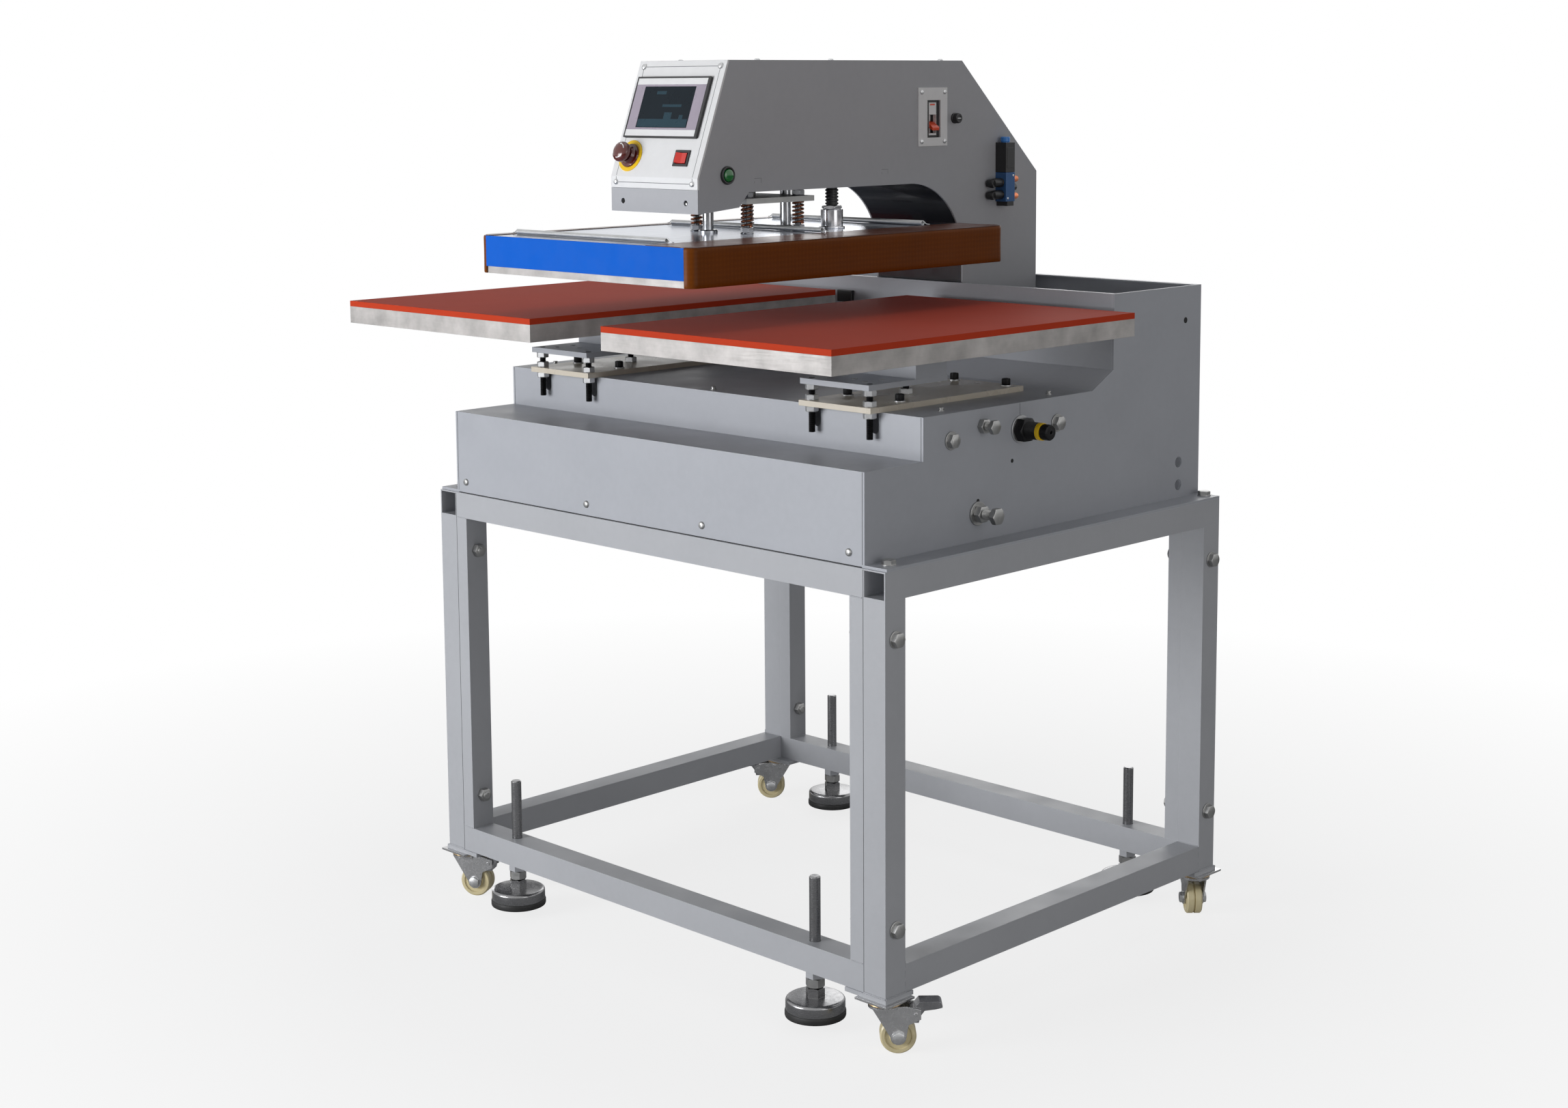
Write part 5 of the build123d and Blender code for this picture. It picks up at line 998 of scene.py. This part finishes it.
# %% Table screws and weld beads of the stations
bm = bmesh.new()
beads = bmesh.new()
for station in STATIONS:
    for x, y in ((-36, -262), (36, -262), (-36, -228), (36, -228), (0, -245)):
        pan_head(bm, 4.4, 1.3, at(station + x, y, TABLE_TOP))
    for side in (-1, 1):
        edge = station + side * 66.0
        for y in (-184.0, -156.0, -130.0):
            weld(beads, (edge - side, y - 5, TABLE_TOP), (edge - side, y + 5, TABLE_TOP), 2.4, int(y) + 400)
            weld(beads, (edge - side, y - 5, 942.8), (edge - side, y + 5, 942.8), 2.4, int(y) + 500)
piece("table_screws", bm, "zinc", "stand")
piece("riser_welds", beads, "cabinet_paint", "stand", sharp=80)

# %% [markdown]
# ## Moving head
# The head's front is a white panel that leans back. Everything on it is placed by how far it is
# across from the middle and up the slope, with the third number standing out of the panel.

# %% Places on the head
HEAD_X = 45.0
HEAD_UNDER = 1160.7
PANEL_LEAN = 20.36855
PANEL_LENGTH = 175.258
TILT = Matrix.Rotation(math.radians(90 - PANEL_LEAN), 4, "X")
HEAD_FRONT = -391.8
HEAD_BEND = HEAD_UNDER + 22.3
HEAD_SIDE = HEAD_X + 91.0
HEAD_TOP = HEAD_UNDER + 186.6
PANEL_SCREW_X = 80.0
print("head from", HEAD_UNDER, "to", HEAD_TOP, "mm")


def on_panel(across, upward, out=0.0):
    return at(HEAD_X, HEAD_FRONT, HEAD_BEND, TILT) @ Matrix.Translation((across, upward, out))


def on_side(y, z, out=0.0):
    """Place on the head's right side plate, with local Z to the right, X down and Y to the rear."""
    return at(HEAD_SIDE + out, y, z, ALONG_X)


# %% [markdown]
# ### Touch screen
# A black frame stands 4 mm proud of the panel. Inside it lie a lilac face with a white strip above
# and below, and the dark display. The display shows only dim blocks, with no words.

# %% Touch screen
bm = bmesh.new()
where = on_panel(-6, 104)
prism(bm, rounded((-77, 77), (-46, 46), 3), 0, 3.2, where)
framed(bm, (-77, 77), (-46, 46), (-74.5, 71.5), (-43.5, 43.5), (3.2, 4.0), where)
slab(bm, (-69, 69), (-38, 38), (-30, 0), where)
piece("screen_frame", bm, "black_plastic", "head", ("touch_screen",), bevel=0.4)
for name, finish, x, y, z in (
        ("screen_face", "screen_lilac", (-74.5, 71.5), (-34, 34), (3.0, 3.5)),
        ("screen_strip_upper", "print_white", (-74.5, 71.5), (34, 43.5), (3.0, 3.6)),
        ("screen_strip_lower", "print_white", (-74.5, 71.5), (-43.5, -34), (3.0, 3.6)),
        ("screen_display", "screen_dark", (-56, 51), (-31, 31), (3.0, 3.56))):
    bm = bmesh.new()
    slab(bm, x, y, z, where)
    piece(name, bm, finish, "head")
bm = bmesh.new()
for x, y in (((-28, -8), (19, 24)), ((-10, 30), (0, 4)), ((-54, 49), (-30, -18)), ((-2, 14), (-18, -8)),
             ((30, 38), (-18, -12))):
    slab(bm, x, y, (3.5, 3.6), where)
piece("screen_blocks", bm, "screen_bar", "head")

# %% [markdown]
# ### Emergency stop, rocker and start button
# The mushroom of the emergency stop is deep red, with three bent arrows printed on its crown that
# say which way to turn it. It stands on a red collar in a yellow disc.

# %% Emergency stop
where = on_panel(-60, 31)
bm = bmesh.new()
turned(bm, [(11, 0), (23, 0), (23.4, 0.3), (23.4, 0.9), (23, 1.2), (11, 1.2)], where, 64)
piece("stop_disc", bm, "ring_yellow", "head")
bm = bmesh.new()
turned(bm, [(7.5, 1.0), (17.4, 1.0), (17.8, 1.5), (17.0, 3.6), (13.2, 4.5), (12.8, 5.0), (11.3, 9.5),
            (7.5, 9.5)], where, 64)
piece("stop_collar", bm, "cap_red", "head")
bm = bmesh.new()
turned(bm, [(0, -30), (11, -30), (11, 0), (8, 0)], where, 48)
piece("stop_body", bm, "black_plastic", "head", ("panel_fittings",))
DOME = [(0, 27.0), (4.5, 26.9), (8.0, 26.3), (11.2, 25.1), (13.4, 23.4), (14.6, 21.6), (15.0, 19.8)]
bm = bmesh.new()
turned(bm, [(0, -5), (7.2, -5), (7.2, 14), (13.2, 14), (14.6, 15.4)] + DOME[::-1], where, 64)
piece("stop_mushroom", bm, "cap_red", "e_stop", ("e_stop_knob",))


def dome_height(radius):
    for (r0, z0), (r1, z1) in zip(DOME, DOME[1:]):
        if r0 <= radius <= r1:
            return z0 + (z1 - z0) * (radius - r0) / (r1 - r0)
    return DOME[-1][1]


bm = bmesh.new()
PRINT_PROUD = 0.12
for start in (20, 140, 260):
    rows = []
    for k in range(13):
        share = k / 12
        angle = math.radians(start + 72 * share)
        half = 0.55 if share < 0.7 else 1.7 * (1 - share) / 0.3 + 0.02
        row = []
        for radius in (10.6 - half, 10.6, 10.6 + half):
            height = dome_height(radius) + PRINT_PROUD
            point = (radius * math.cos(angle), radius * math.sin(angle), height)
            row.append(bm.verts.new(where @ Vector(point)))
        rows.append(row)
    for here, there in zip(rows, rows[1:]):
        for j in range(2):
            bm.faces.new((here[j], here[j + 1], there[j + 1], there[j]))
piece("stop_arrows", bm, "print_white", "e_stop")

# %% Rocker frame, button ring and fuse holder
bm = bmesh.new()
where = on_panel(49, 29)
framed(bm, (-15, 15), (-12, 12), (-11.2, 11.2), (-8.2, 8.2), (0, 2.0), where)
framed(bm, (-12.2, 12.2), (-9.2, 9.2), (-11, 11), (-8, 8), (-18, 0), where)
piece("rocker_frame", bm, "black_plastic", "head", bevel=0.5)
bm = bmesh.new()
where = on_side(-334.4, HEAD_UNDER + 25.2)
ring = [(9.3, -28), (11, -28), (11, 0), (13, 0), (13.2, 1.4), (12.6, 3.4), (11.6, 4.0), (10.2, 3.8),
        (9.3, 2.6)]
turned(bm, ring, where, 64)
piece("button_ring", bm, "black_plastic", "head")
bm = bmesh.new()
turned(bm, [(0, -10), (8.9, -10), (8.9, 3.6), (8.4, 4.6), (6.6, 5.5), (3.6, 6.0), (0, 6.1)], where, 64)
piece("start_button_cap", bm, "button_green", "start", ("start_button",))
bm = bmesh.new()
where = on_side(155.5, HEAD_UNDER + 98.0)
turned(bm, [(0, -24), (6, -24), (6, 0), (8, 0), (8, 2.4), (7.3, 3.0), (7.3, 10.2), (6.6, 11), (4.4, 11),
            (4.2, 10.2), (0, 10.2)], where)
knurled(bm, 14, 7.2, (0, 0.5), (-0.5, 0.5), (3.4, 10.0), where)
piece("fuse_holder", bm, "black_plastic", "head")
bm = bmesh.new()
slab(bm, (-0.6, 0.6), (-4.0, 4.0), (10.2, 10.9), where)
piece("fuse_slot_bar", bm, "zinc", "head")

# %% [markdown]
# ### Circuit breaker
# A white cover plate leaves a window for the breaker. The breaker is a pale moulded case with a
# black surround, and its orange-red lever rests in the lower place.

# %% Circuit breaker
WINDOW_Y = (90.5, 121.0)
WINDOW_Z = (HEAD_UNDER + 69.3, HEAD_UNDER + 126.3)
LEVER_Z = HEAD_UNDER + 90.0
PLATE_Y = (70.0, 137.0)
PLATE_Z = (HEAD_UNDER + 56.3, HEAD_UNDER + 145.6)
PLATE_T = 2.0
mid_y = sum(WINDOW_Y) / 2
bm = bmesh.new()
sheet = (HEAD_SIDE, HEAD_SIDE + PLATE_T)
slab(bm, sheet, PLATE_Y, (WINDOW_Z[1], PLATE_Z[1]))
slab(bm, sheet, PLATE_Y, (PLATE_Z[0], WINDOW_Z[0]))
slab(bm, sheet, (PLATE_Y[0], WINDOW_Y[0]), WINDOW_Z)
slab(bm, sheet, (WINDOW_Y[1], PLATE_Y[1]), WINDOW_Z)
bmesh.ops.remove_doubles(bm, verts=bm.verts[:], dist=1e-6)
piece("breaker_cover", bm, "panel_white", "head", ("breaker_plate",))
bm = bmesh.new()
face_x = HEAD_SIDE - 1.5
depth = (face_x - 60, HEAD_SIDE - 3.3)
case_y = (mid_y - 18, mid_y + 18)
well_y = (mid_y - 8.5, mid_y + 8.5)
well_z = (LEVER_Z - 14, LEVER_Z + 14)
slab(bm, depth, case_y, (WINDOW_Z[0] - 12, well_z[0]))
slab(bm, depth, case_y, (well_z[1], WINDOW_Z[1] + 12))
for y in ((case_y[0], well_y[0]), (well_y[1], case_y[1])):
    slab(bm, depth, y, well_z)
slab(bm, (face_x - 60, face_x - 12), well_y, well_z)
frame_y = (WINDOW_Y[0] + 0.5, WINDOW_Y[1] - 0.5)
frame_z = (WINDOW_Z[0] + 0.5, WINDOW_Z[1] - 0.5)
for y, z in (((frame_y[0], well_y[0]), frame_z), ((well_y[1], frame_y[1]), frame_z),
             (well_y, (frame_z[0], frame_z[0] + 3)), (well_y, (frame_z[1] - 3, frame_z[1]))):
    slab(bm, (face_x - 8, face_x), y, z)
piece("breaker_case", bm, "black_plastic", "head", bevel=0.3)
bm = bmesh.new()
skin = (face_x - 6, face_x + 0.6)
front_y = (mid_y - 8.4, mid_y + 8.4)
gap_z = (LEVER_Z - 14.2, LEVER_Z + 14.2)
slab(bm, skin, front_y, (gap_z[1], frame_z[1] - 3))
slab(bm, skin, front_y, (frame_z[0] + 3, gap_z[0]))
for y in ((front_y[0], mid_y - 8.1), (mid_y + 8.1, front_y[1])):
    slab(bm, skin, y, gap_z)
slab(bm, (face_x - 11.8, face_x - 11.2), (mid_y - 8.3, mid_y + 8.3), (LEVER_Z - 13.8, LEVER_Z + 13.8))
piece("breaker_front", bm, "print_white", "head", bevel=0.3)
bm = bmesh.new()
slab(bm, (face_x + 0.5, face_x + 0.7), (mid_y - 6, mid_y + 5), (frame_z[1] - 7.5, frame_z[1] - 5))
piece("breaker_mark", bm, "lever_orange", "head")
bm = bmesh.new()
x = HEAD_SIDE - 7.5
outline = [(x - 3, LEVER_Z - 4), (x - 3, LEVER_Z + 4), (x + 3, LEVER_Z + 3), (x + 13.4, LEVER_Z - 4.6),
           (x + 14, LEVER_Z - 6), (x + 13, LEVER_Z - 10), (x + 3, LEVER_Z - 4)]
prism(bm, [(a, -b) for a, b in outline], mid_y - 8, mid_y + 8, at(0, 0, 0, ALONG_Y))
piece("breaker_lever_cap", bm, "lever_orange", "breaker_toggle", ("breaker_lever",), bevel=0.8)

# %% [markdown]
# ### Solenoid valve
# The valve that feeds the press cylinder is a small blue block with a black coil on top. Two black
# elbows take the air lines on its front side, and bronze mufflers let the used air out behind.

# %% Solenoid valve
VALVE_Y = 267.0
VALVE_Z = HEAD_UNDER - 41.7
VALVE_X = (HEAD_SIDE, HEAD_SIDE + 22.0)
valve_y = (VALVE_Y - 11, VALVE_Y + 11)
valve_mid = sum(VALVE_X) / 2
bm = bmesh.new()
slab(bm, VALVE_X, valve_y, (VALVE_Z + 7, VALVE_Z + 53))
piece("valve_body", bm, "valve_blue", "head", ("solenoid_valve",), bevel=0.9)
bm = bmesh.new()
slab(bm, VALVE_X, (valve_y[0] + 3, valve_y[1] - 3), (VALVE_Z, VALVE_Z + 7.2))
slab(bm, (VALVE_X[0] + 0.5, VALVE_X[1] - 0.5), valve_y, (VALVE_Z + 53.3, VALVE_Z + 100))
slab(bm, (VALVE_X[1] - 0.5, VALVE_X[1]), (valve_y[0] + 3, valve_y[1] - 3), (VALVE_Z + 60, VALVE_Z + 92))
piece("valve_coil", bm, "black_plastic", "head", bevel=1.0)
bm = bmesh.new()
where = at(valve_mid, VALVE_Y, VALVE_Z + 100)
turned(bm, [(0, -1), (6.6, -1), (6.6, 1.0), (7.5, 1.4), (7.5, 7.6), (6.6, 8.8), (4.6, 9.0), (0, 8.4)], where)
piece("valve_knob", bm, "knob_blue", "head")

TO_REAR = Matrix.Rotation(math.radians(-90), 4, "X")
elbows = bmesh.new()
rings = bmesh.new()
for rise in (18, 37):
    where = at(valve_mid, valve_y[0], VALVE_Z + rise, TO_FRONT)
    turned(elbows, [(0, -1), (6.9, -1), (7.2, 0), (7.2, 15), (6.6, 20.0), (0, 21.0)], where)
    low = VALVE_Z + rise - 1.0
    corner = [(valve_mid - 8.0, valve_y[0] - 20.0, low), (valve_mid, valve_y[0] - 20.5, low),
              (valve_mid + 4.0, valve_y[0] - 20.0, low)]
    swept(elbows, corner, [6.2, 7.0, 6.0], 24)
    turned(rings, [(5.0, 0.2), (7.0, 0.2), (7.2, 0.6), (7.2, 2.2), (7.0, 2.6), (5.0, 2.6)], where)
piece("valve_elbows", elbows, "black_plastic", "head")
piece("valve_rings", rings, "race_bronze", "head")
bm = bmesh.new()
for rise in (15, 42):
    where = at(valve_mid, valve_y[1], VALVE_Z + rise, TO_REAR)
    hexed(bm, 11.5, -0.5, 6.0, where)
    dome = [(0, 5.8), (5.0, 5.8), (5.2, 7.0), (5.2, 14.0), (4.4, 17.0), (2.4, 19.2), (0, 19.6)]
    turned(bm, dome, where)
piece("valve_mufflers", bm, "sinter_bronze", "head")
bm = bmesh.new()
where = at(valve_mid, valve_y[1], VALVE_Z + 29, TO_REAR)
turned(bm, [(0, -1), (5.4, -1), (5.4, 12.0), (4.4, 13.6), (2.6, 13.6), (2.4, 11), (0, 11)], where)
piece("valve_plug", bm, "black_plastic", "head")
bm = bmesh.new()
for y, rise in ((VALVE_Y - 6.5, 12), (VALVE_Y + 6.5, 48)):
    pan_head(bm, 1.9, 0.9, at(VALVE_X[1], y, VALVE_Z + rise, ALONG_X), 0.2)
piece("valve_screws", bm, "zinc", "head")

# %% [markdown]
# ### Screws, tabs and print on the head
# A thin dark line frames the panel and runs from screw to screw. On the side plate, the folded
# tabs of the inner sheet show as small bent slits. The nose has two deep holes, drawn as dark discs
# that are painted shade of their depth, and a screw shows in the right one.

# %% Panel line and tab slits
bm = bmesh.new()
LINE = 0.4
PRINT = (0.0, 0.06)
for x in (-PANEL_SCREW_X, PANEL_SCREW_X):
    slab(bm, (x - LINE, x + LINE), (1.5, PANEL_LENGTH - 13), PRINT, on_panel(0, 0))
slab(bm, (-75.0, 75.0), (PANEL_LENGTH - 9 - LINE, PANEL_LENGTH - 9 + LINE), PRINT, on_panel(0, 0))
front = at(HEAD_X, HEAD_FRONT, HEAD_BEND - 8, TO_FRONT)
slab(bm, (-75.0, 75.0), (-LINE, LINE), PRINT, front)
for x in (-PANEL_SCREW_X, PANEL_SCREW_X):
    slab(bm, (x - LINE, x + LINE), (-0.5, 8.0), PRINT, front)
for y, z in ((-273.6, 1176.0), (-4.3, 1180.5)):
    slab(bm, (-4.0, -3.6), (-7.0, 7.0), PRINT, on_side(y, z))
    slab(bm, (-4.0, 3.0), (6.6, 7.0), PRINT, on_side(y, z))
    slab(bm, (0.0, 3.0), (-7.0, -6.6), PRINT, on_side(y, z))
piece("panel_lines", bm, "print_grey", "head")

# %% Screws of the head
bm = bmesh.new()
for x in (-PANEL_SCREW_X, PANEL_SCREW_X):
    pan_head(bm, 4.5, 3.0, on_panel(x, PANEL_LENGTH - 9))
    pan_head(bm, 4.0, 3.0, at(HEAD_X + x, HEAD_FRONT, HEAD_BEND - 8, TO_FRONT))
    for y in (-262.0, -110.0, 135.0):
        pan_head(bm, 4.0, 2.4, at(HEAD_X + x, y, HEAD_TOP))
for y in (77.0, 130.0):
    for z in (HEAD_UNDER + 63.3, HEAD_UNDER + 138.6):
        pan_head(bm, 3.5, 2.6, at(HEAD_SIDE + 2, y, z, ALONG_X))
piece("head_pan_screws", bm, "zinc", "head", ("head_screws",))
# The dark discs are painted shade that stands for the depth of the nose holes.
bm = bmesh.new()
for x in (-66.0, 66.0):
    where = at(HEAD_X + x, HEAD_FRONT + 2.6, HEAD_UNDER - 12.6, TO_FRONT)
    turned(bm, [(0, 0), (3.9, 0), (3.9, 0.2), (0, 0.2)], where, 32)
piece("nose_holes", bm, "dark_hole", "head")
bm = bmesh.new()
where = at(HEAD_X + 66.0, HEAD_FRONT + 2.3, HEAD_UNDER - 14.0, TO_FRONT)
turned(bm, [(0, 0), (2.2, 0), (2.2, 1.0), (1.4, 1.5), (0, 1.5)], where, 24)
piece("nose_screw", bm, "zinc_dull", "head")

# %% [markdown]
# ## Press head
# The heater hangs on a thick plate under the press cylinder. Four brown springs round threaded
# bolts hold it up. Its sides are wrapped in a brown coated cloth that folds in over the bright top
# sheet. Three long closed springs pull the two folded edges together.

# %% Coil springs and their bolts
HEATER_LOW = 1045.0
COVER_TOP = 1099.0
HANGER_LOW = 1142.0
HANGER_TOP = 1150.0
PLATEN_Y = -206.0
SPRING_R = 7.6
WIRE_R = 1.55
TURNS = 6.5
coils = bmesh.new()
rods = bmesh.new()
for side in (-1, 1):
    for end in (-1, 1):
        where = at(HEAD_X + side * 53, PLATEN_Y + end * 53, 0)
        low, high = COVER_TOP + 9.2 + WIRE_R, HANGER_LOW - WIRE_R
        count = 156
        points = []
        for k in range(count + 1):
            share = k / count
            angle = 2 * math.pi * TURNS * share
            rise = min(1.0, max(0.0, (share * TURNS - 0.55) / (TURNS - 1.1)))
            height = low + (high - low) * rise
            points.append((SPRING_R * math.cos(angle), SPRING_R * math.sin(angle), height))
        swept(coils, points, WIRE_R, 10, where)
        threaded(rods, 5, COVER_TOP, HANGER_TOP + 12.4, 1.5, where)
        for seat in (COVER_TOP, HANGER_TOP):
            turned(rods, [(4.6, seat), (9.6, seat), (9.9, seat + 0.4), (9.6, seat + 1.3), (4.6, seat + 1.3)],
                   where)
            hexed(rods, 17, seat + 1.3, seat + 8.6, where, bore=4.3)
    where = at(HEAD_X, PLATEN_Y + side * 80, COVER_TOP)
    post = [(0, 0), (14, 0), (14, 3.6), (13, 5.0), (8.0, 5.0), (8.0, 163.4), (6.6, 165), (0, 165)]
    turned(rods, post, where)
piece("coil_springs", coils, "spring_brown", "press_head", ("press_springs",), sharp=80)
piece("posts_and_bolts", rods, "post_steel", "press_head", ("press_posts",))

# %% Long closed springs across the cover
FLAP_LEFT = 22.0
FLAP_RIGHT = 90.0
HALF_W = 224.5
HALF_D = 324.0
HOOK_ROOM = 8.0
CLOSED_R = 3.2
CLOSED_WIRE = 0.75
CLOSED_PITCH = 1.62
bm = bmesh.new()
for y in (-483.0, -178.0, 42.0):
    low = HEAD_X - HALF_W + FLAP_LEFT + HOOK_ROOM
    high = HEAD_X + HALF_W - FLAP_RIGHT - HOOK_ROOM
    z = COVER_TOP + CLOSED_R + CLOSED_WIRE
    turns = (high - low) / CLOSED_PITCH
    steps = int(turns * 12)
    points = []
    for k in range(steps + 1):
        angle = 2 * math.pi * turns * k / steps
        x = low + (high - low) * k / steps
        points.append((x, y + CLOSED_R * math.cos(angle), z + CLOSED_R * math.sin(angle)))
    swept(bm, points, CLOSED_WIRE, 5)
    for start, way in ((low, -1), (high, 1)):
        hook = [(start, y, z + CLOSED_R), (start + way * 3, y, z + 1.5),
                (start + way * 6, y, COVER_TOP + 3.0), (start + way * 10, y, COVER_TOP + 2.2),
                (start + way * 12, y + 2, COVER_TOP + 2.1)]
        swept(bm, hook, CLOSED_WIRE, 8)
piece("cover_springs", bm, "zinc", "press_head", sharp=80)

# %% [markdown]
# ### Coated cloth round the heater
# The cloth band is stiff, but it is still cloth. It bellies a little between its corners, its
# edges are rolled, and the part that folds in over the cover is glossy and slightly uneven.

# %% Cloth band
CORNER_R = 15.0
BAND_T = 2.3
BAND_H = 54.0


def band_outline(inset=0.0, steps=8, cuts=26):
    """Points round the band from the front left corner over the rear to the front right corner."""
    x0, x1 = HEAD_X - HALF_W + inset, HEAD_X + HALF_W - inset
    y0, y1 = PLATEN_Y - HALF_D + inset, PLATEN_Y + HALF_D - inset
    r = CORNER_R - inset
    points = []
    for cx, cy, start in ((x0 + r, y0 + r, 270), (x0 + r, y1 - r, 180), (x1 - r, y1 - r, 90),
                          (x1 - r, y0 + r, 0)):
        arc = []
        for k in range(steps + 1):
            angle = math.radians(start - 90 * k / steps)
            arc.append((cx + r * math.cos(angle), cy + r * math.sin(angle)))
        if points:
            (ax, ay), (bx, by) = points[-1], arc[0]
            for k in range(1, cuts):
                share = k / cuts
                points.append((ax + (bx - ax) * share, ay + (by - ay) * share))
        points += arc
    return points


bm = bmesh.new()
draw = random.Random(7)
outer, inner = band_outline(), band_outline(BAND_T)
LEVELS = ((0.0, 0.9), (1.2, 0.1), (6.0, 0.0), (14.0, 0.12), (24.0, 0.22), (34.0, 0.24), (44.0, 0.12),
          (50.0, 0.0), (52.8, 0.25), (BAND_H, 1.2))
waves = [(draw.uniform(0.008, 0.03), draw.uniform(0, 6.3)) for _ in range(5)]
columns = []
for i, (out_point, in_point) in enumerate(zip(outer, inner)):
    column = []
    along = out_point[0] + out_point[1]
    ripple = sum(math.sin(frequency * along + phase) for frequency, phase in waves) / 5
    for height, draw_in in LEVELS:
        share = (draw_in + 0.1 * ripple * (height / BAND_H)) / BAND_T
        x = out_point[0] + (in_point[0] - out_point[0]) * max(0.0, share)
        y = out_point[1] + (in_point[1] - out_point[1]) * max(0.0, share)
        column.append(bm.verts.new(at(x, y, HEATER_LOW + height) @ Vector((0, 0, 0))))
    for height in (BAND_H, 0.0):
        column.append(bm.verts.new(at(in_point[0], in_point[1], HEATER_LOW + height) @ Vector((0, 0, 0))))
    columns.append(column)
for here, there in zip(columns, columns[1:]):
    for j in range(len(here)):
        k = (j + 1) % len(here)
        bm.faces.new((here[j], here[k], there[k], there[j]))
bm.faces.new(columns[0])
bm.faces.new(columns[-1])
piece("cloth_band", bm, "coated_cloth", "press_head", ("side_guards",), sharp=60)

# %% Flaps of the band on the cover
LONG_CUTS = 60
CROSS_CUTS = 12
bm = bmesh.new()
for side, width in ((-1, FLAP_LEFT), (1, FLAP_RIGHT)):
    rows = []
    for i in range(LONG_CUTS + 1):
        y = PLATEN_Y - HALF_D + 2 * HALF_D * i / LONG_CUTS
        row = []
        from_end = min(i, LONG_CUTS - i) * 2 * HALF_D / LONG_CUTS
        corner = CORNER_R - math.sqrt(max(0.0, CORNER_R ** 2 - max(0.0, CORNER_R - from_end) ** 2))
        for j in range(CROSS_CUTS + 1):
            share = j / CROSS_CUTS
            x = HEAD_X + side * (HALF_W - 0.7 - corner - (width - 0.7 - corner) * share)
            lift = 0.9 + 0.35 * math.sin(0.021 * y + 3 * share) * share * (1 - share) * 4
            row.append((x, y, COVER_TOP + min(1.25, lift) * (0.72 if share < 0.02 else 1.0)))
        rows.append(row)
    top = [[bm.verts.new(at(*point) @ Vector((0, 0, 0))) for point in row] for row in rows]
    low = [[bm.verts.new(at(x, y, COVER_TOP + 0.05) @ Vector((0, 0, 0))) for x, y, z in row]
           for row in rows]
    for grid in (top, low):
        for here, there in zip(grid, grid[1:]):
            for j in range(CROSS_CUTS):
                bm.faces.new((here[j], here[j + 1], there[j + 1], there[j]))
    rim = [(0, j) for j in range(CROSS_CUTS + 1)] + [(i, CROSS_CUTS) for i in range(1, LONG_CUTS + 1)]
    rim += [(LONG_CUTS, j) for j in range(CROSS_CUTS - 1, -1, -1)]
    rim += [(i, 0) for i in range(LONG_CUTS - 1, -1, -1)]
    for (a, b), (c, d) in zip(rim, rim[1:]):
        bm.faces.new((top[a][b], top[c][d], low[c][d], low[a][b]))
piece("cloth_flaps", bm, "coated_flap", "press_head", sharp=50)

# %% [markdown]
# ### Terminal fitting and conduit
# The heater's leads come up through a bright fitting on the cover and go into the head inside a
# thick black corrugated conduit. A real conduit would give way as the press head moves. This one is
# stiff, rides on the press head and slides in and out of the head.

# %% Terminal fitting and conduit
TERMINAL_X = HEAD_X + 60.0
TERMINAL_Y = PLATEN_Y + 118.0
CONDUIT_LOW = 34.0
CONDUIT_RIBS = 20
RIB_PITCH = 5.0
RIB = ((8.2, 0.0), (8.4, 1.0), (9.8, 1.5), (10.0, 2.2), (10.0, 3.0), (9.8, 3.6), (8.4, 4.2))
bm = bmesh.new()
where = at(TERMINAL_X, TERMINAL_Y, COVER_TOP)
barrel = [(0, 0), (19.5, 0), (19.5, 2.4), (18.6, 3.0), (16.6, 3.2), (16.6, 27.4), (15.8, 28.4), (0, 28.4)]
turned(bm, barrel, where, 64)
hexed(bm, 27, 28.4, CONDUIT_LOW, where)
piece("terminal_fitting", bm, "fitting_nickel", "press_head", ("terminal_box",), bevel=0.8)
bm = bmesh.new()
ribs = []
for k in range(CONDUIT_RIBS):
    ribs += [(radius, CONDUIT_LOW + k * RIB_PITCH + rise) for radius, rise in RIB]
top = CONDUIT_LOW + CONDUIT_RIBS * RIB_PITCH
turned(bm, [(7.0, CONDUIT_LOW)] + ribs + [(8.2, top), (7.0, top)], where, 40)
piece("conduit", bm, "black_plastic", "press_head")

# %% [markdown]
# ### Travel switch in the trough
# A small black block on the front wall of the rear trough tells the controller where the head is.

# %% Travel switch
bm = bmesh.new()
slab(bm, (-116, -84), (155.5, 163.0), (959, 978))
piece("travel_switch", bm, "black_plastic", "stand", bevel=1.2)
